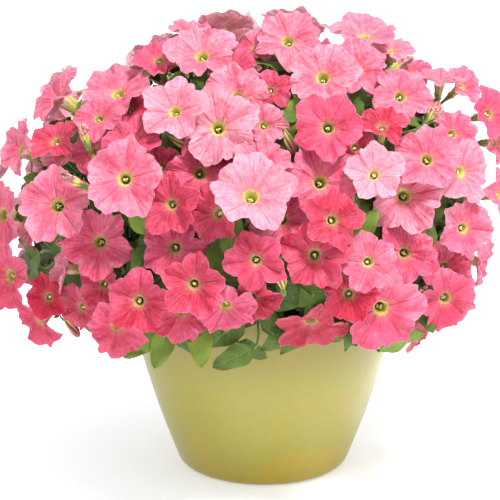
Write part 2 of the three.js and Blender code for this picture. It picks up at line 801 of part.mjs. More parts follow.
// Leaves and buds for the rest of the mound, in the gaps between its flowers.
function restGrowths(front, flowers) {
  const rest = [];
  spreadOverMound(SPREAD_LEAVES, LOWEST_THROAT, 1).forEach((spot, i) => {
    const draws = new Draws(900 + i);
    const hidden = flowers.some((f) => f.throat.distanceTo(spot) < LEAF_ROOM * f.radius);
    const close = [...front, ...rest].some((g) => g.base.distanceTo(spot) < LEAF_SPACING);
    const normal = moundNormal(spot);
    const level = new THREE.Vector3(0, 0, 1).cross(normal).normalize();
    const along = level
      .applyAxisAngle(normal, draws.between(0, 2 * Math.PI))
      .addScaledVector(normal, 0.35)
      .normalize();
    const length = draws.between(32, 44);
    if (hidden || close) return;
    const kind = rest.length % BUD_EVERY === BUD_EVERY - 1 ? "bud" : "leaf";
    const up = normal.clone().add(new THREE.Vector3(0, 0, 0.5));
    const middle = spot.clone().addScaledVector(normal, -LEAF.sink);
    rest.push(growth(kind, middle, along, up, kind === "bud" ? 0.75 * length : length, 1300 + i));
  });
  return rest;
}

// A point of a leaf's upper side: along runs from 0 at its base to 1 at its tip, over from -1 to 1 across it.
function leafPoint(leaf, along, over) {
  const { length } = leaf;
  const half = 0.5 * LEAF.width * length * leafOutline(along);
  const arch = -LEAF.arch * length * (along * along + 0.35 * over * over * leafOutline(along));
  const wave = LEAF.wave * length * over * over * Math.sin(11 * along + leaf.phase + 2 * over);
  return leaf.base
    .clone()
    .addScaledVector(leaf.along, along * length)
    .addScaledVector(leaf.across, over * half)
    .addScaledVector(leaf.upper, arch + wave);
}

// A leaf's half width, as a share of its greatest: widest below the middle, drawn out to a tip.
function leafOutline(along) {
  return Math.sin(Math.PI * Math.pow(along, 0.8)) * (1 - 0.12 * along) + 0.02;
}

// Points of a leaf's blade that stand for it.
function leafSamples(leaf) {
  return [0, 0.25, 0.5, 0.75, 1].flatMap((t) => [-1, 0, 1].map((over) => leafPoint(leaf, t, over)));
}

// Sinks leaves and buds until they lie below the flowers near them. One that finds no room, or that a tube
// passes through, is crowded.
function settleGrowths(growths, flowers) {
  const tubes = flowers.map((f) => samplesBetween(tubeFoot(f), f.throat));
  for (const item of growths) {
    item.crowded = true;
    const near = flowers.filter((f) => f.throat.distanceTo(item.base) < f.radius + item.length);
    const giving = moundNormal(item.base).negate();
    let sunk = 0;
    for (let round = 0; round < LEAF_SETTLE.rounds && sunk < LEAF.mostSink; round++) {
      const points = leafSamples(item);
      const need = needBelow(points, giving, near, 1);
      item.crowded = need >= LEAF_SETTLE.enough;
      if (!item.crowded) break;
      const step = Math.min(need, LEAF_SETTLE.step, LEAF.mostSink - sunk);
      item.base.addScaledVector(giving, step);
      sunk += step;
    }
    const points = leafSamples(item);
    const closeTo = (tube) => tube.some((spot) => points.some((p) => p.distanceTo(spot) < TUBE_ROOM));
    item.crowded ||= tubes.some(closeTo);
  }
  return growths;
}

// The ring at a leaf's or a bud's base.
function baseRing(item, grow) {
  const towards = item.base.clone().sub(item.root).normalize().add(item.along);
  return ringRound(item.base, towards, item.across, TWIG_RADIUS + grow, 3);
}

// A leaf blade has a ring of four points at each station: an edge, the rib above, an edge and the rib below.
function leafRings(leaf, grow) {
  const stations = leaf.isFront ? [0.8, 0.5, 0.2] : [0.72, 0.3];
  return stations.map((along, k) => {
    const wide = grow / (0.5 * LEAF.width * leaf.length * leafOutline(along));
    const thick = LEAF.thickness * (1 - 0.3 * along);
    const points = [
      leafPoint(leaf, along, 1 + wide),
      leafPoint(leaf, along, 0).addScaledVector(leaf.upper, grow),
      leafPoint(leaf, along, -1 - wide),
      leafPoint(leaf, along, 0).addScaledVector(leaf.upper, -thick - grow),
    ];
    const split = 0.001 * k; // so that the blade is split into triangles alike above and below
    return { points, turns: [split, 0.25, 0.5, 0.75 + split] };
  });
}

// A bud is a spindle with its belly past the middle.
function budRings(bud, grow) {
  const belly = bud.base.clone().addScaledVector(bud.along, 0.62 * bud.length);
  return [ringRound(belly, bud.along, bud.across, BUD_RADIUS + grow, 5)];
}

// The rings of a leaf or a bud, from its tip to its base.
function growthRings(item, grow) {
  const isLeaf = item.kind === "leaf";
  const tip = isLeaf ? leafPoint(item, 1, 0) : item.base.clone().addScaledVector(item.along, item.length);
  return [
    { points: [tip.addScaledVector(item.along, grow)], turns: [0] },
    ...(isLeaf ? leafRings(item, grow) : budRings(item, grow)),
    baseRing(item, grow),
  ];
}

// Shares out among stems.

const SPRAYS = 26;
const LEAFY_STEMS = 21;
const MOST_ITEMS = 7; // on one stem
const SHARING_ROUNDS = 8;
const MOST_SLANT = 0.93; // of a stalk against its stem
const JOINT = 0.07; // length of a joint, as a share of the stem's path
const JOINTS = [0.93, 0.86, 0.79, 0.72, 0.65, 0.58, 0.51, 0.44]; // where joints may begin along a stem

// How far out stems may stand in the soil, as shares of their end's reach, and how far their ends may lie
// inwards of the middle of what they carry.
const SPRAY_WAYS = { shares: [0.25, 0.35, 0.45, 0.55], inwards: [14, 22, 32] };
const LEAFY_WAYS = { shares: [0.2, 0.35, 0.45, 0.55], inwards: [12, 22, 34] };

// Shares items out among places: each goes to the nearest place with room. The places then move to the
// middle of their items, and the sharing is done again. Places that get none are left out.
function shareOut(items, places, spotOf) {
  let groups = places.map((place) => ({ place, items: [] }));
  for (let round = 0; round < SHARING_ROUNDS; round++) {
    groups = groups.map(({ place, items: own }) => ({ place: meanOf(own.map(spotOf), place), items: [] }));
    for (const item of items) {
      const spot = spotOf(item);
      const open = groups.filter((group) => group.items.length < MOST_ITEMS);
      const nearest = open.reduce((a, b) =>
        b.place.distanceTo(spot) < a.place.distanceTo(spot) ? b : a,
      );
      nearest.items.push(item);
    }
  }
  return groups.filter((group) => group.items.length > 0);
}

// The mean of some points, or another point where there are none.
function meanOf(points, otherwise) {
  if (points.length === 0) return otherwise;
  const mean = new THREE.Vector3();
  for (const point of points) mean.addScaledVector(point, 1 / points.length);
  return mean;
}

// The middle of the items' feet, drawn in towards the mound's middle.
function meanEnd(items, footOf, inward) {
  const end = meanOf(items.map(footOf), null);
  return end.addScaledVector(moundNormal(end), -inward);
}

// How steeply a stalk runs along its stem: 0 is square to it, 1 is along it.
function slantOf(stem, { joint, root }, foot) {
  return Math.abs(stem.path.getTangent(joint + JOINT / 2).dot(foot.clone().sub(root).normalize()));
}

// Grows one stem for each group of items near each other, then joins each item to its stem by a stalk: of
// some places along the stem, the clearest. Taken holds the points of all stems and stalks so far.
function growStems(groups, footOf, { shares, inwards }, taken) {
  const stems = groups.map((group) => {
    const ends = inwards.map((inward) => meanEnd(group.items, footOf, inward));
    const way = growStem(ends, shares, taken);
    const stem = { path: way.path, items: group.items };
    taken.push(...way.samples.map((point) => ({ point, owner: stem })));
    return stem;
  });
  for (const stem of stems) {
    const free = JOINTS.map((joint) => ({ joint, root: stem.path.getPoint(joint + JOINT / 2) }));
    for (const item of stem.items) {
      const foot = footOf(item);
      const ways = free
        .map(({ joint, root }) => ({ joint, root, samples: samplesBetween(root, foot) }))
        .map((way) => ({ ...way, slant: slantOf(stem, way, foot) }))
        .toSorted((a, b) => a.slant - b.slant);
      const open = ways.filter((way) => way.slant < MOST_SLANT);
      const others = taken.filter(({ owner }) => owner !== stem && owner !== item);
      const way = clearest(open.length > 0 ? open : ways.slice(0, 2), others);
      Object.assign(item, { root: way.root, joint: way.joint });
      free.splice(free.findIndex(({ joint }) => joint === way.joint), 1);
      taken.push(...way.samples.map((point) => ({ point, owner: item })));
    }
  }
  return stems;
}

const flowers = (() => {
  const front = frontFlowers();
  return settle([...front, ...restFlowers(front)]);
})();
const growths = (() => {
  const front = [
    ...FRONT_LEAVES.map((row, i) => frontGrowth("leaf", row, 1100 + i)),
    ...FRONT_BUDS.map((row, i) => frontGrowth("bud", row, 1200 + i)),
  ];
  const rest = settleGrowths(restGrowths(front, flowers), flowers);
  return [...settleGrowths(front, flowers), ...rest.filter((item) => !item.crowded)];
})();

const RIM_SAMPLES = 140;
const BELOW_RIM = [0, 8, 20];

// Points on the pot's wall at its rim.
function rimPoints() {
  const points = [];
  for (const height of BELOW_RIM.map((below) => POT.height - below)) {
    for (let i = 0; i < RIM_SAMPLES; i++) {
      const angle = (2 * Math.PI * i) / RIM_SAMPLES;
      const radius = potRadius(height) - (height < POT.height ? 0 : POT.wall / 2);
      points.push(new THREE.Vector3(radius * Math.cos(angle), radius * Math.sin(angle), height));
    }
  }
  return points;
}

// The points taken by the flowers' tubes and the pot's rim come first: no stem may pass there.
const taken = [
  ...rimPoints().map((point) => ({ point, owner: "pot" })),
  ...flowers.flatMap((owner) =>
    samplesBetween(tubeFoot(owner), owner.throat).map((point) => ({ point, owner })),
  ),
];
const sprays = growStems(
  shareOut(flowers, spreadOverMound(SPRAYS, LOWEST_THROAT + 12, 0), (f) => f.throat),
  tubeFoot,
  SPRAY_WAYS,
  taken,
);
for (const owner of flowers) {
  taken.push(...limbPoints(owner, [0.35, 0.65, 0.95]).map((point) => ({ point, owner })));
}
for (const owner of growths) {
  if (owner.kind === "leaf") taken.push(...leafSamples(owner).map((point) => ({ point, owner })));
}
const leafyStems = growStems(
  shareOut(growths, spreadOverMound(LEAFY_STEMS, LOWEST_THROAT + 6, 1.2), (g) => g.base),
  (g) => g.base,
  LEAFY_WAYS,
  taken,
);

// Assembly.

// The bounding box of a solid, for telling whether two can meet.
function boxOf(solid) {
  const box = solid.boundingBox();
  return new THREE.Box3(new THREE.Vector3(...box.min), new THREE.Vector3(...box.max));
}

// A stem, a flower or a leaf of a node. Its rings run from its tip to its foot. The wire is the part that is
// never cut. The grown solids are what other nodes keep clear of.
class Piece {
  constructor(node, index, ringsFor, wireRingsFor, item) {
    Object.assign(this, { node, index, ringsFor, wireRingsFor, item });
    this.solid = this.solidOn(ringsFor, 0, ROOT_RADIUS);
    this.grown = this.solidOn(ringsFor, CLEARANCE, STEM_RADIUS);
    this.grownWire = this.solidOn(wireRingsFor, CLEARANCE, STEM_RADIUS);
    this.box = boxOf(this.grown);
  }

  // The solid through some rings, with a stalk down to the stem's middle.
  solidOn(ringsFor, grow, rootRadius) {
    if (!this.item) return solidThrough(ringsFor(grow));
    return solidThrough([...ringsFor(grow), rootRing(this.item, rootRadius + grow)]);
  }

  // The others that this one has to be cut clear of: stems, stalks and tubes of other nodes, and the blades
  // of earlier pieces of other nodes.
  cutters(pieces) {
    return pieces
      .filter((other) => other.node !== this.node && other.box.intersectsBox(this.box))
      .map((other) => (other.index < this.index ? other.grown : other.grownWire))
      .filter((cutter) => this.solid.intersect(cutter).volume() > 0);
  }

  // Whether this piece's stalk would run through a stem, a stalk or a tube of another node.
  isBlocked(pieces) {
    const wire = this.solidOn(this.wireRingsFor, 0, STEM_RADIUS);
    return pieces
      .filter((other) => other.node !== this.node && other.box.intersectsBox(this.box))
      .some((other) => wire.intersect(other.grownWire).volume() > 1e-3);
  }

  // This piece cut clear, with its wire whole.
  cleared(cutters) {
    const cut = this.solid.subtract(wasm.Manifold.union(cutters));
    const wire = this.solidOn(this.wireRingsFor, -WIRE_INSET, ROOT_RADIUS);
    return wire.subtract(cut).volume() > 0.01 ? cut.add(wire) : cut;
  }
}

// Where a flower's, a leaf's or a bud's stalk ends.
function stalkEnd(item) {
  return item.kind ? item.base : tubeFoot(item);
}

// The way to the first points of the rings round a stalk: the same at both ends, so that it isn't twisted.
function stalkSide(item) {
  const towards = stalkEnd(item).clone().sub(item.root).normalize();
  towards.add(item.kind ? item.along : item.facing).normalize();
  const side = item.kind ? item.across : item.side;
  return side.clone().addScaledVector(towards, -towards.dot(side)).normalize();
}

// Where a piece's stalk is sunk in its stem.
function rootRing(item, radius) {
  return ringRound(item.root, stalkEnd(item).clone().sub(item.root), stalkSide(item), radius, 3);
}

// Points that go round a stalk, as a ring that starts where the stalk's other rings do.
function loopAsRing(points, item) {
  const zero = stalkSide(item);
  const towards = stalkEnd(item).clone().sub(item.root).normalize();
  const side = zero.clone().addScaledVector(towards, -towards.dot(zero)).normalize();
  const up = towards.clone().cross(side);
  const marked = points.map((point, id) => {
    const offset = point.clone().sub(item.root);
    const turn = Math.atan2(offset.dot(up), offset.dot(side)) / (2 * Math.PI);
    return { id, point, turn: turn < 0 ? turn + 1 : turn };
  });
  const first = marked.reduce((a, b) => (b.turn < a.turn ? b : a)).id;
  const ordered = [...marked.slice(first), ...marked.slice(0, first)];
  return {
    points: ordered.map((m) => m.point),
    turns: ordered.map((m) => m.turn),
    order: ordered.map((m) => m.id),
  };
}

// The corners of the side of a stem that a piece grows out of, at its joint: the side that faces its foot.
function jointLoop(stem, item) {
  const low = stemRing(stem, item.joint, 0).points;
  const high = stemRing(stem, Math.round((item.joint + JOINT) * 1000) / 1000, 0).points;
  const loops = [0, 1, 2].map((k) => {
    const next = (k + 1) % 3;
    return { side: k, points: [low[k], high[k], high[next], low[next]] };
  });
  const facing = ({ points }) => {
    const normal = points[1].clone().sub(points[0]).cross(points[3].clone().sub(points[0])).normalize();
    return normal.dot(stalkEnd(item).clone().sub(points[0]).normalize());
  };
  return loops.reduce((a, b) => (facing(b) > facing(a) ? b : a));
}

// A stem and the pieces that grow out of it in one skin.
function treeSolid(stem, grown) {
  const skin = new Skin();
  const stations = stemStations(stem);
  const rings = stations.map((t) => skin.add(stemRing(stem, t, 0)));
  skin.cap(rings[0], false);
  skin.cap(rings[rings.length - 1], true);
  const open = new Map(grown.map((one) => [stations.indexOf(one.item.joint), one]));
  for (let k = 0; k + 1 < rings.length; k++) {
    const [low, high] = [rings[k].ids, rings[k + 1].ids];
    const one = open.get(k);
    const loop = one && jointLoop(stem, one.item);
    for (let side = 0; side < 3; side++) {
      const next = (side + 1) % 3;
      const ids = [low[side], high[side], high[next], low[next]];
      if (loop && loop.side === side) {
        const ring = loopAsRing(loop.points, one.item);
        const last = skin.chain(one.ringsFor(0));
        skin.band(last, { turns: ring.turns, ids: ring.order.map((i) => ids[i]) });
      } else {
        skin.index.push(ids[0], ids[1], ids[2], ids[0], ids[2], ids[3]);
      }
    }
  }
  return solidOf(skin.geometry());
}

// Builds one node. Pieces that stand clear grow out of the stem in one skin, others are fused to it.
function nodeSolid(stem, own, pieces) {
  const bare = stemSolid(stem, 0);
  const tree = [];
  const fused = [];
  const tried = [];
  for (const one of own.slice(1)) {
    const cutters = one.cutters(pieces);
    const grown = solidThrough([...one.ringsFor(0), loopAsRing(jointLoop(stem, one.item).points, one.item)]);
    const near = pieces.filter((other) => other.node !== one.node && other.box.intersectsBox(one.box));
    const others = near.flatMap((other) => [other.grownWire, other.solid]);
    const meets = [bare, ...tried, ...others].some((other) => grown.intersect(other).volume() > 1e-3);
    if (cutters.length === 0 && !meets) {
      tree.push(one);
      tried.push(grown);
    } else {
      fused.push(cutters.length > 0 ? one.cleared(cutters) : one.solid);
    }
  }
  return largestBody(wasm.Manifold.union([treeSolid(stem, tree), ...fused]));
}

// Builds the solids of all plant nodes. A leaf whose stalk finds no way is left out.
function plantSolids() {
  const pieces = [];
  const add = (...parts) => pieces.push(new Piece(parts[0], pieces.length, ...parts.slice(1)));
  const named = (stems, prefix) =>
    stems.map((stem, i) => ({ stem, node: `${prefix}_${String(i + 1).padStart(2, "0")}` }));
  const nodes = [...named(sprays, "bloom_spray"), ...named(leafyStems, "leafy_stem")];
  for (const { stem, node } of nodes) {
    const rings = (grow) => stemStations(stem).map((t) => stemRing(stem, t, grow));
    add(node, rings, rings, null);
    for (const item of stem.items) item.node = node;
  }
  for (const f of flowers) {
    add(f.node, (grow) => [...limbRings(f, grow), ...tubeRings(f, grow)], (grow) => tubeRings(f, grow), f);
  }
  for (const g of growths) {
    add(g.node, (grow) => growthRings(g, grow), (grow) => [baseRing(g, grow)], g);
  }
  const standing = pieces.filter((one) => !one.item?.kind || !one.isBlocked(pieces));
  return nodes.map(({ stem, node }) => {
    const own = standing.filter((one) => one.node === node);
    return { node, solid: nodeSolid(stem, own, standing) };
  });
}

// The scene.

const COLOURS = {
  glaze: new THREE.MeshStandardMaterial({ color: 0xbfb566, roughness: 0.38, metalness: 0 }),
  soil: new THREE.MeshStandardMaterial({ color: 0x3b2a1e, roughness: 0.95, metalness: 0 }),
  petal: new THREE.MeshStandardMaterial({ color: 0xf5718f, roughness: 0.6, metalness: 0 }),
  leaf: new THREE.MeshStandardMaterial({ color: 0x4f7d2c, roughness: 0.6, metalness: 0 }),
};

function meshOf(name, solid, material) {
  const mesh = new THREE.Mesh(geometryOf(solid), material.clone());
  mesh.name = name;
  return mesh;
}

const plant = new THREE.Group();
for (const { node, solid } of plantSolids()) {
  plant.add(meshOf(node, solid, node.startsWith("bloom") ? COLOURS.petal : COLOURS.leaf));
}

const pottedPetunia = new THREE.Group();
pottedPetunia.add(meshOf("pot", makePot(), COLOURS.glaze));
pottedPetunia.add(meshOf("soil", makeSoil([...sprays, ...leafyStems]), COLOURS.soil));
pottedPetunia.add(plant);

export default pottedPetunia;
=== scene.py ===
"""A trailing petunia in a round glazed pot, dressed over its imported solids.

The layout of flowers, leaves and stems is worked out in millimetres from the same places and sizes as the
solids have. Each spray and each leafy stem is then made again in fine meshes, in metres, at its solid's
place.
"""

from __future__ import annotations

import logging
import math
from collections.abc import Callable, Sequence
from dataclasses import dataclass, field
from enum import Enum

import bpy
import numpy as np
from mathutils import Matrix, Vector
from mathutils.kdtree import KDTree


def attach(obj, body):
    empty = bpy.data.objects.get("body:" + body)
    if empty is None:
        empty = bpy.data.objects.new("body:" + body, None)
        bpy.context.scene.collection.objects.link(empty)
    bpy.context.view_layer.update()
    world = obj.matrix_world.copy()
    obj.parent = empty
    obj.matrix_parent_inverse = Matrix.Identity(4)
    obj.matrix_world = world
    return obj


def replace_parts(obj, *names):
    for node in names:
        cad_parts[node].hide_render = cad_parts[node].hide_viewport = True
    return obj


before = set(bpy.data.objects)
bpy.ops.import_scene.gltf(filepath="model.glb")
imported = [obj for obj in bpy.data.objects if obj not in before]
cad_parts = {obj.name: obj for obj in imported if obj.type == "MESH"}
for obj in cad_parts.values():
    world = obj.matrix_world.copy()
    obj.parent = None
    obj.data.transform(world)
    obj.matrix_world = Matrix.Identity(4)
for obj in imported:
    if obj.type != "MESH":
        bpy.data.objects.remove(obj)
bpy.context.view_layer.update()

log = logging.getLogger("petunia")

Array = np.ndarray
Span = tuple[float, float]
Colour = tuple[int, int, int]
Ramp = tuple[tuple[float, Colour], ...]
MM = 0.001
UP = np.array([0.0, 0.0, 1.0])
TURN = 2 * math.pi
GOLDEN_TURN = math.pi * (3 - math.sqrt(5))
LOBES = 5

# Flowers. Shares are of a flower's radius, other lengths are in millimetres. REST stands before what is only
# for the flowers that the front view doesn't show.
THROAT_SHARE = 0.17
DISH_SHARE = 0.27
TUBE_SHARE = 0.95
LIMB_ROOT = 2.6
TUBE_FOOT = 1.9
PETAL_GAP = 2.4
MOST_SINK_FRONT = 38.0
MOST_SINK_REST = 24.0
MOST_BEND = 16.0
SETTLE_ROUNDS = 16
SETTLE_STEP = 2.5
SETTLED = 0.05
SPREAD_FLOWERS = 120
CROWDING = 0.8
MOST_SEEN = 0.3
REST_RADIUS = (26.0, 31.0)
REST_MORE_ON_TOP = 3.0
REST_DEEPEST = 0.95
REST_DEEPER_BELOW = 0.45
REST_OUTWARDS = 0.4
REST_JITTER = ((-0.2, 0.2), (-0.2, 0.2), (-0.25, 0.2))
RIM_ROOM = (8.0, 10.0)
LOWEST_THROAT = 128.0
SAME_WAY = 0.3
ALMOST_ACROSS = 0.1
INNER_LIMB = (0.2, 0.5, 0.8)
OUTER_LIMB = (0.6, 1.0)
WHOLE_LIMB = (0.35, 0.65, 0.95)

# Leaves and buds. Width, arch and wave are shares of a leaf's length, LEAF_ROOM of a flower's radius.
LEAF_WIDTH = 0.56
LEAF_WAVE = 0.05
LEAF_ARCH = 0.1
LEAF_SINK = 10.0
LEAF_MOST_SINK = 42.0
LEAF_ROUNDS = 14
LEAF_STEP = 3.0
LEAF_LIFT = 0.35
BUD_RADIUS = 3.8
BUD_LENGTH = 0.75
BUD_EVERY = 7
FORESHORTENING = 0.88
SPREAD_LEAVES = 106
REST_LEAF_LENGTH = (32.0, 44.0)
TUBE_ROOM = 6.0
LEAF_SPACING = 33.0
LEAF_ROOM = 0.82

# Stems. Shares say how far out a stem stands in the soil, inwards how far inside its flowers it ends.
SPRAYS = 26
LEAFY_STEMS = 21
SPRAY_SHARES = (0.25, 0.35, 0.45, 0.55)
SPRAY_INWARDS = (14.0, 22.0, 32.0)
LEAFY_SHARES = (0.2, 0.35, 0.45, 0.55)
LEAFY_INWARDS = (12.0, 22.0, 34.0)
MOST_ITEMS = 7
SHARING_ROUNDS = 8
MOST_SLANT = 0.93
JOINT = 0.07
JOINTS = (0.93, 0.86, 0.79, 0.72, 0.65, 0.58, 0.51, 0.44)
STEM_TRIES = (0, 0.08, -0.08, 0.16, -0.16, 0.24, -0.24, 0.32, -0.32, 0.42, -0.42, 0.55, -0.55)
STEM_STEPS = 200
SAMPLE = 3.0
MOST_ROOM = 10.0
BETTER_ROOM = 0.5
BOW_SHARE = 0.35
ROOT_NEAREST = 4.0
ROOT_FROM_WALL = 12.0
ROOT_DEPTH = 8.0
MIDDLE_SHARE = 0.62
MIDDLE_LIFT = 12.0
LOW_END = 45.0
LOW_LIFT = 0.85

# Where stems keep clear of the pot: millimetres down from its rim, and in from its outside.
RIM_RINGS = ((0.0, 3.5), (8.0, 0.0), (20.0, 0.0))
RIM_POINTS = 140

# First seeds of the draws.
SEED_FRONT, SEED_REST, SEED_GAPS, SEED_LEAVES, SEED_BUDS, SEED_REST_LEAVES = 100, 500, 900, 1100, 1200, 1300
SEED_LIMB, SEED_TONE, SEED_CALYX, SEED_BUD_CALYX, SEED_SPENT_CALYX = 3000, 4000, 5000, 5600, 5800
SEED_INNER, SEED_FILL, SEED_SPENT, SEED_SPENT_REST, SEED_CRUMBS = 6000, 9000, 9500, 9600, 77

# The flowers seen from the front: across, down, width, turn, tilt, depth of colour, layer. Across, down and
# width are steps of the reading grid. Turn is degrees to the right, tilt degrees up from the line of sight.
# The depth of colour was read off each flower's look: partly its own tone, partly painted shade where it lay
# in shadow.
FRONT_FLOWERS = (
    (202, 57, 70, -5, 38, 0.25, 0), (190, 33, 44, 0, 65, 0.3, 2), (159, 61, 52, -15, 42, 0.55, 1),
    (117, 93, 72, -20, 45, 0.3, 1), (60, 100, 62, -62, 32, 0.35, 1), (56, 142, 52, -25, 40, 0.8, 0),
    (99, 119, 48, -10, 35, 0.4, 0), (127, 108, 44, -10, 40, 0.75, 2), (175, 112, 62, -10, 28, 0.12, 0),
    (218, 127, 74, 0, 10, 0.08, 0), (237, 96, 66, 0, 30, 0.25, 1), (231, 66, 48, 0, 50, 0.6, 2),
    (131, 144, 56, -10, 35, 0.6, 1), (125, 179, 73, -5, 8, 0.3, 0), (199, 172, 63, 5, 5, 0.5, 1),
    (160, 166, 44, 0, 0, 0.7, 2), (94, 151, 50, -40, 15, 0.6, 2), (62, 152, 46, -50, 20, 0.25, 1),
    (22, 150, 52, -55, 15, 0.3, 1), (58, 206, 70, -15, 8, 0.3, 0), (3, 215, 75, -45, 5, 0.35, 1),
    (288, 42, 64, 0, 30, 0.25, 0), (323, 78, 70, -5, 25, 0.22, 0), (357, 70, 62, 8, 30, 0.35, 1),
    (364, 38, 71, 0, 60, 0.25, 1), (400, 97, 58, 12, 22, 0.3, 0), (328, 128, 66, 0, 8, 0.6, 0),
    (382, 128, 50, 5, 52, 0.9, 0), (488, 114, 54, 40, 10, 0.55, 0), (440, 82, 48, 25, 72, 0.3, 1),
    (465, 84, 46, 45, 30, 0.35, 2), (356, 147, 42, 20, 20, 0.65, 2), (427, 160, 64, 8, 20, 0.35, 0),
    (374, 175, 54, 5, 18, 0.0, 0), (321, 182, 72, 5, 12, 0.35, 1), (452, 134, 50, 30, 25, 0.35, 1),
    (460, 172, 64, 40, 5, 0.2, 0), (406, 195, 74, 5, 5, 0.2, 0), (271, 89, 40, 5, 25, 0.65, 2),
    (256, 46, 42, -20, 35, 0.4, 1), (264, 124, 46, 5, 20, 0.25, 2), (261, 163, 52, 0, 45, 0.25, 1),
    (251, 197, 80, 5, 32, 0.12, 0), (171, 204, 56, -15, -5, 0.8, 1), (218, 213, 58, -38, 0, 0.8, 1),
    (98, 242, 68, -12, 0, 0.45, 0), (174, 248, 62, -10, -10, 0.55, 1), (194, 284, 58, -5, -5, 0.75, 0),
    (11, 276, 72, -45, -5, 0.35, 1), (49, 297, 44, -20, -5, 0.85, 0), (41, 321, 56, -50, -35, 0.35, 1),
    (102, 285, 48, -20, -20, 0.6, 1), (139, 301, 60, -8, -5, 0.65, 0), (80, 308, 50, -40, -25, 0.5, 1),
    (117, 326, 58, -10, -30, 0.35, 0), (180, 312, 60, 0, -25, 0.4, 1), (64, 268, 52, -72, 10, 0.2, 1),
    (251, 298, 60, 0, -42, 0.75, 1), (226, 306, 58, 5, -45, 0.3, 0), (256, 260, 56, -5, -3, 0.7, 0),
    (283, 219, 60, 0, 0, 0.4, 1), (332, 220, 56, 10, 8, 0.85, 0), (315, 255, 64, 0, -3, 0.75, 0),
    (368, 262, 54, 5, -3, 0.3, 0), (407, 253, 62, 8, 0, 0.45, 1), (464, 228, 60, 25, 0, 0.3, 0),
    (349, 294, 54, 2, -8, 0.85, 0), (381, 308, 76, 10, -15, 0.22, 0), (445, 298, 62, 20, -20, 0.4, 1),
    (447, 267, 52, 15, -5, 0.4, 2), (478, 262, 48, 72, -12, 0.3, 0), (312, 322, 68, 0, -60, 0.7, 0),
    (498, 195, 50, 55, 5, 0.35, 1), (497, 142, 44, 55, 0, 0.3, 2), (392, 52, 44, 15, 50, 0.2, 2),
    (412, 74, 44, 15, 40, 0.35, 2),
)

# Leaves seen between the front flowers: across, down, degrees that the tip points to, length in grid steps.
FRONT_LEAVES = (
    (50, 236, 165, 44), (62, 253, 200, 42), (45, 263, 220, 36), (136, 215, 100, 46), (140, 238, 55, 42),
    (133, 260, 250, 38), (95, 200, 150, 42), (203, 246, 70, 46), (213, 264, 300, 38), (232, 236, 80, 46),
    (292, 103, 70, 46), (298, 136, 105, 42), (302, 162, 60, 36), (346, 100, 130, 42), (362, 94, 80, 46),
    (374, 108, 30, 42), (357, 203, 110, 46), (366, 226, 60, 42), (290, 251, 80, 46), (327, 300, 330, 38),
    (446, 206, 70, 44), (437, 233, 110, 42), (426, 313, 290, 46), (222, 152, 20, 44), (141, 342, 215, 50),
    (161, 348, 250, 46), (200, 345, 275, 48), (275, 333, 280, 50), (354, 332, 290, 46),
    (84, 262, 240, 40), (413, 225, 80, 40), (40, 180, 170, 40), (150, 85, 110, 40),
)

FRONT_BUDS = (
    (291, 127, 285, 34), (283, 285, 100, 26), (174, 131, 320, 40), (87, 132, 130, 24), (403, 61, 18, 38),
    (315, 305, 75, 30), (42, 248, 170, 30), (433, 112, 60, 28),
)


class Kind(Enum):
    """What a growth on a leafy stem is."""

    LEAF = "leaf"
    BUD = "bud"


class Draws:
    """Seeded draws: the same numbers on every run."""

    def __init__(self, seed: int) -> None:
        """Starts the draws from a seed."""
        self.state = (seed * 7919 + 12345) & 0xFFFFFFFF
        self.next()
        self.next()

    def next(self) -> float:
        """Returns a number from 0 up to 1."""
        self.state = (self.state * 1664525 + 1013904223) & 0xFFFFFFFF
        return self.state / 4294967296

    def between(self, low: float, high: float) -> float:
        """Returns a number between low and high."""
        return low + (high - low) * self.next()

    def lobes(self, low: float, high: float) -> Array:
        """Returns a number between low and high for each lobe of a flower."""
        return np.array([self.between(low, high) for _ in range(LOBES)])


def unit(vector: Array) -> Array:
    """Returns vectors scaled to length 1."""
    return vector / np.maximum(np.linalg.norm(vector, axis=-1, keepdims=True), 1e-12)


def apart(first: Array, second: Array) -> float:
    """Returns how far two points are apart."""
    return np.linalg.norm(first - second)


def smooth(low: float, high: float, value: Array | float) -> Array:
    """Returns 0 below low and 1 above high, with an S-shaped rise between them."""
    share = np.clip((np.asarray(value, float) - low) / (high - low), 0, 1)
    return share * share * (3 - 2 * share)


def bell(value: Array | float, width: float) -> Array:
    """Returns a bump of height 1 at 0 that fades over a width: e to the minus (value / width) squared."""
    return np.exp(-((np.asarray(value, float) / width) ** 2))


def circle(columns: int) -> Array:
    """Returns angles spread evenly over a turn."""
    return TURN * np.arange(columns) / columns


def ring_at(radius: Array | float, angle: Array, height: Array | float) -> Array:
    """Returns points round the upright axis."""
    return np.stack([radius * np.cos(angle), radius * np.sin(angle), height + 0 * angle], axis=-1)


def turned(normal: Array, angle: float) -> Array:
    """Returns the direction square to a normal that lies an angle from the level one."""
    level = unit(np.cross(UP, normal))
    return level * math.cos(angle) + np.cross(normal, level) * math.sin(angle)


def between(start: Array, end: Array) -> Array:
    """Returns points along a straight stretch, about a sample's spacing apart."""
    count = max(2, math.ceil(float(apart(end, start)) / SAMPLE))
    return start + (end - start) * (np.arange(count + 1) / count)[:, None]


def tree_of(points: Array) -> KDTree:
    """Returns a tree that finds the nearest of some points."""
    tree = KDTree(len(points))
    for number, point in enumerate(points.tolist()):
        tree.insert(point, number)
    tree.balance()
    return tree


def lobe_at(angle: Array) -> tuple[Array, Array]:
    """Returns the lobe at each angle and the place on it, from -0.5 at one notch to 0.5 at the next."""
    phase = angle * LOBES / TURN
    whole = np.floor(phase + 1e-9)
    return whole.astype(int) % LOBES, phase - whole - 0.5


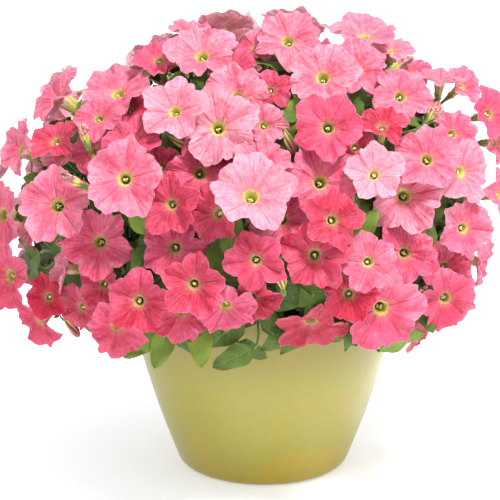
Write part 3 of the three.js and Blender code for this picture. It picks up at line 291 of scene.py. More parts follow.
@dataclass(frozen=True)
class Mound:
    """The egg-shaped skin that the flowers' throats lie on."""

    centre: tuple[float, float, float] = (-11.5, 0.0, 218.0)
    axes: tuple[float, float, float] = (208.0, 198.0, 156.0)

    def normal(self, point: Array) -> Array:
        """Returns the outward direction at points on or near the mound."""
        return unit((point - np.array(self.centre)) / np.array(self.axes) ** 2)

    def spread(self, count: int, lowest: float, first_turn: float, scale: float = 1.0) -> Array:
        """Returns points spread evenly over the mound above a height, by the golden turn.

        Args:
            count: How many points.
            lowest: The height of the lowest ones, on the full mound.
            first_turn: The angle of the first one, in radians.
            scale: The size of the mound that they lie on, as a share of the full one.

        Returns:
            The points, one to a row, in millimetres.
        """
        bottom = (lowest - self.centre[2]) / self.axes[2]
        number = np.arange(count)
        level = 1 - (number + 0.5) / count * (1 - bottom)
        points = ring_at(np.sqrt(1 - level * level), first_turn + number * GOLDEN_TURN, level)
        return points * scale * np.array(self.axes) + np.array(self.centre)


class Sight:
    """The line of sight that the front flowers were read along: right and up across it, and back along it."""

    aim = (-11.5, 0.0, 187.0)
    elevation = math.radians(16)
    distance = 1870.0
    scale = 0.85
    middle = 250.0

    def __init__(self) -> None:
        """Works out the three directions."""
        rise, level = math.sin(self.elevation), math.cos(self.elevation)
        self.right = np.array([1.0, 0.0, 0.0])
        self.up = np.array([0.0, rise, level])
        self.back = np.array([0.0, -level, rise])

    def turned(self, degrees: float) -> Array:
        """Returns the direction across the line of sight that lies some degrees from right to up."""
        angle = math.radians(degrees)
        return self.right * math.cos(angle) + self.up * math.sin(angle)

    def meet(self, mound: Mound, across: float, down: float) -> Array:
        """Returns where the line of sight through a point of the reading grid meets the mound.

        A line that passes beside the mound gives the point where it comes nearest.
        """
        eye = np.array(self.aim) + self.back * self.distance
        sideways = self.right * (across - self.middle) * self.scale
        ray = -self.back * self.distance + sideways + self.up * (self.middle - down) * self.scale
        start = (eye - np.array(mound.centre)) / np.array(mound.axes)
        step = ray / np.array(mound.axes)
        a, b, c = step @ step, start @ step, start @ start - 1
        return eye + ray * (-b - math.sqrt(max(0.0, b * b - a * c))) / a


MOUND = Mound()
SIGHT = Sight()


@dataclass(eq=False)
class Flower:
    """A flower's place: its throat, the way it faces, and the way from its axis to a notch."""

    number: int
    throat: Array
    facing: Array
    radius: float
    depth: float
    spin: float
    giving: Array
    most_sink: float
    above: list[Flower] = field(default_factory=list)
    root: Array | None = None
    joint: float = 0.0

    def __post_init__(self) -> None:
        """Works out the directions square to the flower's axis."""
        self.side = turned(self.facing, self.spin)
        self.up = np.cross(self.facing, self.side)

    @property
    def foot(self) -> Array:
        """Where the tube ends and the stalk begins."""
        return self.throat - self.facing * TUBE_SHARE * self.radius

    def limb_height(self, distance: Array) -> Array:
        """Returns how far the limb stands forward of the throat at distances from the axis."""
        share = np.maximum(0, (distance / self.radius - THROAT_SHARE) / (1 - THROAT_SHARE))
        return DISH_SHARE * self.radius * share

    def place(self, distance: Array, angle: Array, height: Array) -> Array:
        """Returns points given by their distance from the axis, their angle and their height."""
        return (
            self.throat
            + self.side * (distance * np.cos(angle))[..., None]
            + self.up * (distance * np.sin(angle))[..., None]
            + self.facing * (height + 0 * angle)[..., None]
        )

    def limb_points(self, shares: Sequence[float], columns: int = 12) -> Array:
        """Returns points that stand for the limb, on circles at some shares of its radius."""
        angle = circle(columns)
        reaches = [share * self.radius for share in shares]
        circles = [self.place(reach + 0 * angle, angle, self.limb_height(reach)) for reach in reaches]
        return np.concatenate(circles)

    def reach(self, points: Array) -> tuple[Array, Array]:
        """Returns the heights of points along the axis over the throat, and their distances from the axis."""
        offset = points - self.throat
        height = offset @ self.facing
        return height, np.sqrt(np.maximum(0, (offset * offset).sum(-1) - height * height))

    def height_over(self, points: Array, margin: float) -> Array:
        """Returns the heights of points over the limb, or NaN where they aren't over it or its margin."""
        height, distance = self.reach(points)
        away = (distance > self.radius + margin) | (distance < THROAT_SHARE * self.radius)
        return np.where(away, np.nan, height - self.limb_height(distance))


@dataclass(eq=False)
class Growth:
    """A leaf or a bud: its base, the way it points, the way its upper side faces, and its length.

    Crowded means that it found no room of its own. A bud is then shown spent and crumpled.
    """

    kind: Kind
    base: Array
    along: Array
    upper: Array
    length: float
    phase: float
    tone: float
    root: Array | None = None
    joint: float = 0.0
    crowded: bool = False

    @classmethod
    def round_middle(
        cls, kind: Kind, middle: Array, along: Array, normal: Array, length: float, draws: Draws
    ) -> Growth:
        """Returns a growth round its middle, with its upper side towards a normal."""
        upper = unit(normal - along * (normal @ along))
        return cls(kind, middle - along * length / 2, along, upper, length, draws.between(0, 6), draws.next())

    @property
    def across(self) -> Array:
        """The direction across it."""
        return np.cross(self.upper, self.along)

    @property
    def foot(self) -> Array:
        """Where its stalk ends."""
        return self.base

    def blade(self, along: Array, over: Array, fullness: float = 1.0) -> Array:
        """Returns points of a leaf's upper side.

        The blade drops with the square of the way along and across it, and its edges wave.

        Args:
            along: From 0 at the base to 1 at the tip.
            over: From -1 to 1 across the blade.
            fullness: The power in the outline, less than 1 for a blunter leaf.
        """
        outline = leaf_outline(along, fullness)
        half = 0.5 * LEAF_WIDTH * self.length * outline
        arch = -LEAF_ARCH * self.length * (along**2 + 0.35 * over**2 * outline)
        wave = LEAF_WAVE * self.length * over**2 * np.sin(11 * along + self.phase + 2 * over)
        return (
            self.base
            + self.along * (along * self.length)[..., None]
            + self.across * (over * half)[..., None]
            + self.upper * (arch + wave)[..., None]
        )

    def samples(self) -> Array:
        """Returns points that stand for the blade."""
        along, over = np.meshgrid([0, 0.25, 0.5, 0.75, 1], [-1.0, 0.0, 1.0], indexing="ij")
        return self.blade(along, over).reshape(-1, 3)


def leaf_outline(along: Array, fullness: float = 1.0) -> Array:
    """Returns a leaf's half width as a share of its greatest: widest below the middle, drawn out to a tip."""
    return np.maximum(0, np.sin(np.pi * np.clip(along, 0, 1) ** 0.8)) ** fullness * (1 - 0.12 * along) + 0.02


@dataclass(eq=False)
class Stem:
    """A stem on a curve from the soil to its end, with the flowers or growths that it carries."""

    points: Array
    items: list
    radius: float = 3.2

    def at(self, share: Array | float) -> Array:
        """Returns points of the curve: (1-t)^2 start + 2t(1-t) middle + t^2 end."""
        t = np.asarray(share, float)[..., None]
        start, middle, end = self.points
        return (1 - t) ** 2 * start + 2 * t * (1 - t) * middle + t**2 * end

    def tangent(self, share: float) -> Array:
        """Returns the curve's direction at a share of it."""
        start, middle, end = self.points
        return unit(2 * (1 - share) * (middle - start) + 2 * share * (end - middle))

    def samples(self) -> Array:
        """Returns points along the curve, about a sample's spacing apart."""
        fine = self.at(np.arange(STEM_STEPS + 1) / STEM_STEPS)
        count = math.ceil(np.linalg.norm(np.diff(fine, axis=0), axis=1).sum() / SAMPLE)
        return self.at(np.arange(count + 1) / count)


def need_below(points: Array, giving: Array, above: Sequence[Flower], margin: float) -> float:
    """Returns how far points have to give, along a direction, to lie below the limbs of some flowers."""
    need = 0.0
    for other in above:
        agreement = -float(other.facing @ giving)
        if agreement < SAME_WAY:
            continue
        height = other.height_over(points, margin)
        if not np.isnan(height).all():
            need = max(need, (float(np.nanmax(height)) + PETAL_GAP + margin) / agreement)
    return need


@dataclass(frozen=True)
class PotSize:
    """The pot's driving sizes, in millimetres."""

    height: float = 165.0
    base_radius: float = 65.0
    corner_radius: float = 9.5
    slope_low: float = 0.395
    slope_high: float = 0.175
    wall: float = 7.0
    floor: float = 9.0
    rim_rounding: float = 3.0
    inner_bend: float = 70.0
    soil_below: float = 16.0
    soil_crown: float = 5.0
    soil_gap: float = 1.0
    drain_radius: float = 6.0
    drain_circle: float = 36.0
    drains: int = 3

    @property
    def soil_rim(self) -> float:
        """The height of the soil's edge."""
        return self.height - self.soil_below

    def radius(self, height: Array | float) -> Array | float:
        """Returns the outer radius above the corner: the wall's slope falls evenly from corner to rim."""
        lean = math.atan(self.slope_low)
        corner_top = self.corner_radius * (1 - math.sin(lean))
        start = self.base_radius + self.corner_radius * math.cos(lean)
        rise = height - corner_top
        bend = (self.slope_high - self.slope_low) / (2 * (self.height - corner_top))
        return start + self.slope_low * rise + bend * rise * rise


POT = PotSize()


class Layout:
    """Where every flower, leaf, bud and stem of the plant is."""

    def __init__(self) -> None:
        """Lays out the whole plant."""
        front = self.front_flowers()
        self.flowers = self.settled([*front, *self.rest_flowers(front)])
        leaves = [self.front_growth(Kind.LEAF, row, SEED_LEAVES + i) for i, row in enumerate(FRONT_LEAVES)]
        buds = [self.front_growth(Kind.BUD, row, SEED_BUDS + i) for i, row in enumerate(FRONT_BUDS)]
        rest = self.settled_growths(self.rest_growths([*leaves, *buds]))
        front_growths = self.settled_growths([*leaves, *buds])
        self.growths = [*front_growths, *(item for item in rest if not item.crowded)]
        self.taken: list[Array] = []
        self.owners: list[Array] = []
        self.names: dict[int, int] = {}
        self.grow_all()

    @staticmethod
    def front_flowers() -> list[Flower]:
        """Returns the flowers read from the front, topmost layer first."""
        flowers = []
        rows = sorted(enumerate(FRONT_FLOWERS), key=lambda pair: (pair[1][6], pair[0]))
        for number, (across, down, width, turn, tilt, depth, _) in rows:
            yaw, pitch = math.radians(turn), math.radians(tilt)
            facing = (
                SIGHT.back * math.cos(pitch) * math.cos(yaw)
                + SIGHT.right * math.cos(pitch) * math.sin(yaw)
                + SIGHT.up * math.sin(pitch)
            )
            spin = Draws(SEED_FRONT + number).between(0, TURN / LOBES)
            throat = SIGHT.meet(MOUND, across, down)
            radius = width / 2 * SIGHT.scale
            flowers.append(Flower(number, throat, facing, radius, depth, spin, -SIGHT.back, MOST_SINK_FRONT))
        return flowers

    @staticmethod
    def rest_flowers(front: list[Flower]) -> list[Flower]:
        """Returns the flowers that the front ones don't show, spread evenly over the rest of the mound."""
        rest = []
        top = MOUND.centre[2] + MOUND.axes[2]
        for i, throat in enumerate(MOUND.spread(SPREAD_FLOWERS, LOWEST_THROAT, 0)):
            draws = Draws(SEED_REST + i)
            low = 1 - (throat[2] - LOWEST_THROAT) / (top - LOWEST_THROAT)
            radius = draws.between(*REST_RADIUS) + REST_MORE_ON_TOP * (1 - low) * draws.next()
            depth = min(REST_DEEPEST, draws.next() * draws.next() + REST_DEEPER_BELOW * low * draws.next())
            outward = unit(throat * np.array([1, 1, 0]))
            jitter = np.array([draws.between(*span) for span in REST_JITTER])
            facing = unit(MOUND.normal(throat) + REST_OUTWARDS * outward + jitter)
            spin = draws.between(0, TURN / LOBES)
            crowded = any(apart(f.throat, throat) < CROWDING * (f.radius + radius) for f in front)
            seen = MOUND.normal(throat) @ SIGHT.back > MOST_SEEN
            foot = throat - facing * TUBE_SHARE * radius
            over_pot = math.hypot(foot[0], foot[1]) < POT.radius(POT.height) + RIM_ROOM[0]
            if not (crowded or seen or (over_pot and foot[2] < POT.height + RIM_ROOM[1])):
                number = SEED_REST + i
                rest.append(Flower(number, throat, facing, radius, depth, spin, -facing, MOST_SINK_REST))
        return rest

    @staticmethod
    def settled(flowers: list[Flower]) -> list[Flower]:
        """Sinks each flower until the inner part of its limb lies below those placed before it."""
        for i, flower in enumerate(flowers):
            before = [f for f in flowers[:i] if apart(flower.throat, f.throat) < flower.radius + f.radius]
            sunk = 0.0
            for _ in range(SETTLE_ROUNDS):
                if sunk >= flower.most_sink:
                    break
                need = need_below(flower.limb_points(INNER_LIMB), flower.giving, before, 0)
                for other in before:
                    if other.facing @ flower.facing < 0:
                        continue
                    height = flower.height_over(other.limb_points(OUTER_LIMB), 0)
                    if not np.isnan(height).all():
                        need = max(need, PETAL_GAP - float(np.nanmin(height)))
                if need < SETTLED:
                    break
                step = min(need, SETTLE_STEP, flower.most_sink - sunk)
                flower.throat = flower.throat + flower.giving * step
                sunk += step
            flower.above = [other for other in before if other.facing @ flower.facing > ALMOST_ACROSS]
        return flowers

    @staticmethod
    def front_growth(kind: Kind, row: tuple[int, int, int, int], seed: int) -> Growth:
        """Returns a leaf or a bud read from the front."""
        across, down, pointing, length = row
        spot = SIGHT.meet(MOUND, across, down)
        normal = MOUND.normal(spot)
        along = unit(SIGHT.turned(pointing) + normal * LEAF_LIFT)
        upper = SIGHT.back + 0.5 * UP + 0.5 * normal
        middle = spot - SIGHT.back * LEAF_SINK
        real_length = FORESHORTENING * length * SIGHT.scale
        return Growth.round_middle(kind, middle, along, upper, real_length, Draws(seed))

    def rest_growths(self, front: list[Growth]) -> list[Growth]:
        """Returns leaves and buds for the rest of the mound, in the gaps between its flowers."""
        rest: list[Growth] = []
        for i, spot in enumerate(MOUND.spread(SPREAD_LEAVES, LOWEST_THROAT, 1)):
            draws = Draws(SEED_GAPS + i)
            hidden = any(apart(f.throat, spot) < LEAF_ROOM * f.radius for f in self.flowers)
            close = any(apart(g.base, spot) < LEAF_SPACING for g in [*front, *rest])
            normal = MOUND.normal(spot)
            along = unit(turned(normal, draws.between(0, TURN)) + normal * LEAF_LIFT)
            length = draws.between(*REST_LEAF_LENGTH)
            if hidden or close:
                continue
            kind = Kind.BUD if len(rest) % BUD_EVERY == BUD_EVERY - 1 else Kind.LEAF
            size = BUD_LENGTH * length if kind is Kind.BUD else length
            middle = spot - normal * LEAF_SINK
            draws = Draws(SEED_REST_LEAVES + i)
            rest.append(Growth.round_middle(kind, middle, along, normal + 0.5 * UP, size, draws))
        return rest

    def settled_growths(self, growths: list[Growth]) -> list[Growth]:
        """Sinks leaves and buds below the flowers near them, and marks those that find no room."""
        tubes = np.concatenate([between(f.foot, f.throat) for f in self.flowers])
        for item in growths:
            near = [f for f in self.flowers if apart(f.throat, item.base) < f.radius + item.length]
            giving = -MOUND.normal(item.base)
            item.crowded = True
            sunk = 0.0
            for _ in range(LEAF_ROUNDS):
                if sunk >= LEAF_MOST_SINK:
                    break
                need = need_below(item.samples(), giving, near, 1)
                item.crowded = need >= SETTLED
                if not item.crowded:
                    break
                step = min(need, LEAF_STEP, LEAF_MOST_SINK - sunk)
                item.base = item.base + giving * step
                sunk += step
            room = np.linalg.norm(item.samples()[:, None] - tubes[None], axis=-1).min()
            item.crowded = item.crowded or bool(room < TUBE_ROOM)
        return growths

    @staticmethod
    def share_out(items: list, places: Array, spot_of: Callable[[object], Array]) -> list[list]:
        """Shares items out among places: each goes to the nearest place with room.

        The places then move to the middle of their items, and the sharing is done again.

        Args:
            items: Flowers or growths.
            places: The first places, one to a row.
            spot_of: Gives the spot of an item that counts.

        Returns:
            The items of each place that got some.
        """
        groups: list[list] = [[] for _ in places]
        centres = list(places)
        for _ in range(SHARING_ROUNDS):
            centres = [
                np.mean([spot_of(item) for item in own], axis=0) if own else centre
                for own, centre in zip(groups, centres)
            ]
            groups = [[] for _ in places]
            for item in items:
                away = np.linalg.norm(np.array(centres) - spot_of(item), axis=1)
                full = np.array([len(own) >= MOST_ITEMS for own in groups])
                groups[int(np.argmin(np.where(full, np.inf, away)))].append(item)
        return [own for own in groups if own]

    def take(self, points: Array, owner: object) -> None:
        """Marks points as taken by an owner: no stem or stalk of another should pass there."""
        self.taken.append(points)
        self.owners.append(np.full(len(points), self.names.setdefault(id(owner), len(self.names))))

    def clearest(self, ways: list[Array], free_for: Sequence[object] = ()) -> int:
        """Returns which of several ways stays clearest of the points already taken.

        Args:
            ways: The points of each way.
            free_for: Owners whose points don't count.
        """
        free = [self.names.get(id(owner), -1) for owner in free_for]
        tree = tree_of(np.concatenate(self.taken)[~np.isin(np.concatenate(self.owners), free)])
        best, best_room = 0, -1.0
        for number, way in enumerate(ways):
            room = MOST_ROOM
            for point in way.tolist():
                room = min(room, tree.find(point)[2])
                if room <= best_room + BETTER_ROOM:
                    break
            if room > best_room + BETTER_ROOM:
                best, best_room = number, room
        return best

    @staticmethod
    def stem_points(end: Array, root_share: float, bend: float) -> Array:
        """Returns a stem's start, middle and end: up from the soil, and over the rim where it ends low."""
        turn = math.atan2(end[1], end[0]) + bend
        reach = math.hypot(end[0], end[1])
        farthest = POT.radius(POT.soil_rim) - POT.wall - ROOT_FROM_WALL
        root = min(farthest, ROOT_NEAREST + root_share * reach)
        start = np.array([root * math.cos(turn), root * math.sin(turn), POT.soil_rim - ROOT_DEPTH])
        low = max(0.0, POT.height + LOW_END - end[2])
        middle = (start + end) / 2
        middle[2] = start[2] + MIDDLE_SHARE * (end[2] - start[2]) + MIDDLE_LIFT + LOW_LIFT * low
        return np.array([start, middle, end])

    def grow_stems(self, groups: list[list], shares: Sequence[float], inwards: Sequence[float]) -> list[Stem]:
        """Grows one stem for each group of items, then joins each item to its stem by a stalk.

        Args:
            groups: The items of each stem.
            shares: How far out the stem may stand in the soil, as shares of its end's reach.
            inwards: How far its end may lie inwards of the middle of its items' feet.

        Returns:
            The stems. Each item gets its joint and its root on its stem.
        """
        stems = []
        for items in groups:
            centre = np.mean([item.foot for item in items], axis=0)
            tries = [(inward, share, bend) for inward in inwards for share in shares for bend in STEM_TRIES]
            made = [
                Stem(self.stem_points(centre - MOUND.normal(centre) * inward, share, bend), items)
                for inward, share, bend in tries
            ]
            samples = [stem.samples() for stem in made]
            best = self.clearest(samples)
            stems.append(made[best])
            self.take(samples[best], made[best])
        for stem in stems:
            free = list(JOINTS)
            for item in stem.items:
                ways = []
                for joint in free:
                    root = stem.at(joint + JOINT / 2)
                    slant = abs(float(stem.tangent(joint + JOINT / 2) @ unit(item.foot - root)))
                    ways.append((slant, joint, root))
                ways.sort(key=lambda way: way[0])
                open_ways = [way for way in ways if way[0] < MOST_SLANT] or ways[:2]
                samples = [between(root, item.foot) for _, _, root in open_ways]
                best = self.clearest(samples, (stem, item))
                _, item.joint, item.root = open_ways[best]
                free.remove(item.joint)
                self.take(samples[best], item)
        return stems

    def grow_all(self) -> None:
        """Grows the sprays' stems and then the leafy stems, clear of the pot's rim and of each other."""
        for down, inwards in RIM_RINGS:
            height = POT.height - down
            self.take(ring_at(POT.radius(height) - inwards, circle(RIM_POINTS), height), POT)
        for flower in self.flowers:
            self.take(between(flower.foot, flower.throat), flower)
        places = MOUND.spread(SPRAYS, LOWEST_THROAT + 12, 0)
        groups = self.share_out(self.flowers, places, lambda item: item.throat)
        self.sprays = self.grow_stems(groups, SPRAY_SHARES, SPRAY_INWARDS)
        for flower in self.flowers:
            self.take(flower.limb_points(WHOLE_LIMB), flower)
        for item in self.growths:
            if item.kind is Kind.LEAF:
                self.take(item.samples(), item)
        places = MOUND.spread(LEAFY_STEMS, LOWEST_THROAT + 6, 1.2)
        groups = self.share_out(self.growths, places, lambda item: item.base)
        self.leafy_stems = self.grow_stems(groups, LEAFY_SHARES, LEAFY_INWARDS)


class Skin:
    """A mesh under construction: points in millimetres, with a mark and a tone of three numbers to each.

    The mark says where on its part a point is, and the tone how that part is coloured.
    """

    sharp_angle = math.radians(70)

    def __init__(self) -> None:
        """Starts an empty skin."""
        self.points: list[Array] = []
        self.marks: list[Array] = []
        self.tones: list[Array] = []
        self.faces: list[Array] = []
        self.finishes: list[Array] = []
        self.count = 0

    def add_points(self, points: Array, marks: Array, tone: Sequence[float]) -> Array:
        """Adds points with their marks and their tone, and returns their numbers."""
        number = self.count + np.arange(points[..., 0].size).reshape(points.shape[:-1])
        for kept, values in ((self.points, points), (self.marks, marks), (self.tones, tone)):
            kept.append(np.broadcast_to(np.asarray(values, float), points.shape).reshape(-1, 3))
        self.count += number.size
        return number

    def add_faces(self, corners: Sequence[Array], finish: int) -> None:
        """Adds faces of one finish, given by the numbers of their corners."""
        faces = np.stack(corners, axis=-1).reshape(-1, len(corners))
        self.faces.append(faces)
        self.finishes.append(np.full(len(faces), finish))

    def tube(
        self,
        rings: Array,
        finish: int = 0,
        marks: Sequence[Array | float] = (0, 0, 0),
        tone: Sequence[float] = (0, 0, 0),
    ) -> None:
        """Adds rings of points joined by bands, with a fan over each end.

        Args:
            rings: Points by ring and place round it, anticlockwise seen from where the rings lead to.
            finish: The number of their finish.
            marks: The three numbers of their marks, each one for all, by ring or by point.
            tone: Their tone.
        """
        spread = [np.broadcast_to(np.asarray(mark, float), rings.shape[:2]) for mark in marks]
        spread = np.stack(spread, axis=-1)
        number = self.add_points(rings, spread, tone)
        low, high = number[:-1], number[1:]
        self.add_faces([low, np.roll(low, -1, axis=1), np.roll(high, -1, axis=1), high], finish)
        for row, order in ((0, -1), (-1, 1)):
            middle = self.add_points(rings[row].mean(axis=0)[None], spread[row].mean(axis=0), tone)
            ends = [number[row], np.roll(number[row], -1)][::order]
            self.add_faces([*ends, np.full(rings.shape[1], middle[0])], finish)

    def piece(self, name: str, finishes: Sequence[Finish], slot: str) -> bpy.types.Object:
        """Makes the skin a piece that rides on the plant's one body.

        Args:
            name: The piece's name.
            finishes: Its finishes, in the order of their numbers.
            slot: The record's material slot; it is not used.

        Returns:
            The new object, at the origin, in metres.
        """
        mesh = bpy.data.meshes.new(name)
        loops = np.concatenate([faces.ravel() for faces in self.faces])
        sizes = np.concatenate([np.full(len(faces), faces.shape[1]) for faces in self.faces])
        mesh.vertices.add(self.count)
        mesh.loops.add(len(loops))
        mesh.polygons.add(len(sizes))
        starts = np.concatenate([[0], np.cumsum(sizes)[:-1]])
        mesh.vertices.foreach_set("co", (np.concatenate(self.points) * MM).astype(np.float32).ravel())
        mesh.loops.foreach_set("vertex_index", loops.astype(np.int32))
        mesh.polygons.foreach_set("loop_start", starts.astype(np.int32))
        mesh.polygons.foreach_set("material_index", np.concatenate(self.finishes).astype(np.int32))
        mesh.polygons.foreach_set("use_smooth", np.ones(len(sizes), bool))
        for label, values in (("mark", self.marks), ("tone", self.tones)):
            attribute = mesh.attributes.new(label, "FLOAT_VECTOR", "POINT")
            attribute.data.foreach_set("vector", np.concatenate(values).astype(np.float32).ravel())
        mesh.update(calc_edges=True)
        mesh.validate()
        mesh.set_sharp_from_angle(angle=self.sharp_angle)
        for finish in finishes:
            mesh.materials.append(finish.material)
        thing = bpy.data.objects.new(name, mesh)
        bpy.context.scene.collection.objects.link(thing)
        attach(thing, "root")
        log.info("%s: %d faces", name, len(sizes))
        return thing


def round_rings(path: Array, radii: Array, columns: int, sideways: Array) -> Array:
    """Returns rings of points round a path: centre + radius (cos a, sin a) across it, without a twist.

    Args:
        path: The rings' centres.
        radii: Their radii.
        columns: How many points a ring has.
        sideways: The direction that the first point lies in, not along the path.
    """
    along = unit(np.gradient(path, axis=0))
    side = unit(sideways - along * (along @ sideways)[:, None])
    up = np.cross(along, side)
    angle = circle(columns)
    ring = np.cos(angle)[None, :, None] * side[:, None] + np.sin(angle)[None, :, None] * up[:, None]
    return path[:, None] + ring * np.asarray(radii, float)[:, None, None]


def any_side(direction: Array) -> Array:
    """Returns a direction that isn't along another."""
    return np.array([1.0, 0.0, 0.0]) if abs(direction[2]) > 0.8 * np.linalg.norm(direction) else UP


def bowed(start: Array, end: Array, arriving: Array, share: Array, reach: float) -> Array:
    """Returns points at shares of a path from start to end that arrives along a direction.

    It is the cubic with the corners start, a third of the way, end - arriving * reach, and end.
    """
    t = share[:, None]
    near = start + (end - start) * BOW_SHARE
    far = end - arriving * reach
    return (1 - t) ** 3 * start + 3 * t * (1 - t) ** 2 * near + 3 * t**2 * (1 - t) * far + t**3 * end


@dataclass(frozen=True)
class StemMaker:
    """Round green stems, thinner to their ends and swollen at their joints, and the stalks on them."""

    columns: int = 8
    rows: int = 26
    stalk_columns: int = 6
    stalk_rows: int = 7
    slimness: float = 0.86
    thinning: float = 0.38
    swelling: float = 0.16
    joint_width: float = 0.02
    tip: float = 0.55
    stalk_pull: float = 9.0
    stalk_pull_share: float = 0.3

    def stem(self, skin: Skin, stem: Stem) -> None:
        """Adds a stem."""
        share = np.linspace(0, 1, self.rows)
        path = stem.at(share)
        knots = sum(bell(share - item.joint - JOINT / 2, self.joint_width) for item in stem.items)
        knots = np.minimum(knots, 1)
        radii = self.slimness * stem.radius * (1 - self.thinning * share) * (1 + self.swelling * knots)
        radii[-1] *= self.tip
        rings = round_rings(path, radii, self.columns, any_side(path[-1] - path[0]))
        skin.tube(rings, 0, (share[:, None], 0, 0), (0.5, 0, 0))

    def stalk(self, skin: Skin, start: Array, end: Array, arriving: Array, radii: Span) -> None:
        """Adds a stalk from a stem to a foot, where it arrives along a direction."""
        share = np.linspace(0, 1, self.stalk_rows)
        pull = min(self.stalk_pull, self.stalk_pull_share * apart(end, start))
        path = bowed(start, end, arriving, share, pull)
        thickness = radii[0] + (radii[1] - radii[0]) * share
        rings = round_rings(path, thickness, self.stalk_columns, any_side(end - start))
        skin.tube(rings, 0, (0.6 + 0.4 * share[:, None], 0, 0), (0.7, 0, 0))


@dataclass(frozen=True)
class BloomMaker:
    """Trumpet flowers with five joined lobes.

    Sizes, heights and depths are shares of the flower's radius, but the petal's thickness and the sizes of
    anthers, tip and thread are in millimetres. A span is that of a draw for each lobe or each anther. Ripples
    and nicks are given by how many go round and how high or deep they are, wrinkles by their heights.
    """

    columns: int = 80
    limb_shares: tuple[float, ...] = (0, 0.05, 0.14, 0.26, 0.4, 0.54, 0.68, 0.8, 0.9, 0.96, 1)
    throat_shares: tuple[float, ...] = (1.0, 0.72, 0.46, 0.24, 0.08)
    throat_depth: float = 0.38
    tube_rows: int = 6
    edge_thickness: float = 0.34
    root_thickness: float = 0.95
    lobe: Span = (0.94, 1.1)
    point: float = 0.06
    notch: Span = (0.72, 0.87)
    notch_deepening: float = 0.05
    ripples: tuple[tuple[float, float], ...] = ((9, 0.02), (13, 0.022), (22, 0.02))
    nicks: tuple[tuple[float, float], ...] = ((3.5, 0.07), (5.5, 0.06))
    flare: float = 0.74
    wave: float = 0.045
    rise: float = 0.055
    fall: Span = (0.05, 0.15)
    curl: Span = (-0.14, 0.26)
    lean: Span = (-0.07, 0.07)
    groove: float = 0.03
    groove_width: float = 0.045
    fold: float = 0.03
    fold_width: float = 0.06
    puff: Span = (0.01, 0.07)
    buckle: Span = (0.02, 0.07)
    ruffle: float = 0.042
    wrinkles: tuple[float, ...] = (0.012, 0.009)
    under_tube: float = 0.62
    tube_reach: float = 0.4
    throat_narrowing: float = 0.72
    rib: float = 0.05
    anther_turn: float = 0.12
    anther_out: Span = (0.02, 0.05)
    anther_depth: Span = (0.07, 0.24)
    anther_size: float = 0.95
    anther_length: float = 1.25
    tip_depth: float = 0.12
    tip_size: float = 0.8
    thread: float = 0.3

    def rim_radius(self, flower: Flower, angle: Array, draws: Draws) -> Array:
        """Returns the rim's distance from the axis.

        Each lobe is full and slightly pointed in its middle, and the rim is drawn in at the notches.
        """
        size = draws.lobes(*self.lobe)
        notch = draws.lobes(*self.notch) - self.notch_deepening * flower.depth
        lobe, over = lobe_at(angle)
        full = size[lobe] + self.point * bell(over, 0.08)
        drawn = np.where(over < 0, notch[lobe], notch[(lobe + 1) % LOBES])
        roundness = np.abs(np.sin(LOBES * angle / 2)) ** (0.55 + 0.4 * flower.depth)
        ripple = sum(high * np.sin(waves * angle + TURN * draws.next()) for waves, high in self.ripples)
        nicks = sum(
            deep * (1 - np.abs(np.sin(waves * angle + TURN * draws.next()))) ** 2
            for waves, deep in self.nicks
        )
        return flower.radius * (drawn + (full - drawn) * roundness + (ripple - nicks) * roundness)

    def limb(self, flower: Flower) -> Array:
        """Returns the limb's front as a grid of points.

        The height over the throat is a flare plus waves: the whole rim waves, each lobe falls, curls, leans
        and puffs up on its own, a groove runs along its middle, a fold stands up between two lobes, and the
        edge ruffles.
        """
        draws = Draws(SEED_LIMB + flower.number)
        angle = circle(self.columns)[None]
        share = np.array(self.limb_shares)[:, None]
        rim = self.rim_radius(flower, angle[0], draws)
        lobe, over = lobe_at(angle)
        within = np.cos(np.pi * over) ** 2

        def each(low: float, high: float) -> Array:
            """Returns a draw for each lobe, at each angle."""
            return draws.lobes(low, high)[lobe]

        wave = np.sin(2 * angle + 3 * flower.spin) + np.sin(3 * angle + 5 * flower.spin)
        crease = smooth(0, 0.22, share) * (1 - 0.4 * share)
        ruffle = np.sin(12 * angle + TURN * draws.next()) + 0.8 * np.sin(7 * angle + TURN * draws.next())
        coarse, fine = self.wrinkles
        height = (
            DISH_SHARE * share**self.flare
            + share * self.wave * wave
            + share * (self.rise - each(*self.fall) * (0.5 * within + 0.5 * (1 - np.abs(2 * over))))
            - each(*self.curl) * share**3 * within
            + each(*self.lean) * share**1.5 * np.sin(TURN * over) * within
            - self.groove * bell(over, self.groove_width) * crease
            + self.fold * bell(0.5 - np.abs(over), self.fold_width) * crease
            + each(*self.puff) * np.sin(TURN * np.abs(over)) * share * (1.25 - share)
            + each(*self.buckle) * np.sin(2 * TURN * over + each(0, TURN)) * within * share**2
            + self.ruffle * ruffle * smooth(0.4, 1, share)
            + coarse * np.sin(9 * share + 3 * angle + TURN * draws.next()) * smooth(0.05, 0.4, share)
            + fine * np.sin(5 * share - 11 * angle + TURN * draws.next()) * smooth(0.1, 0.5, share)
        )
        throat = THROAT_SHARE * flower.radius * (1 + 0.05 * bell(over, 0.1) * (1 - share))
        points = flower.place(throat + (rim - throat) * share, angle, flower.radius * height)
        return self.pressed(flower, points)

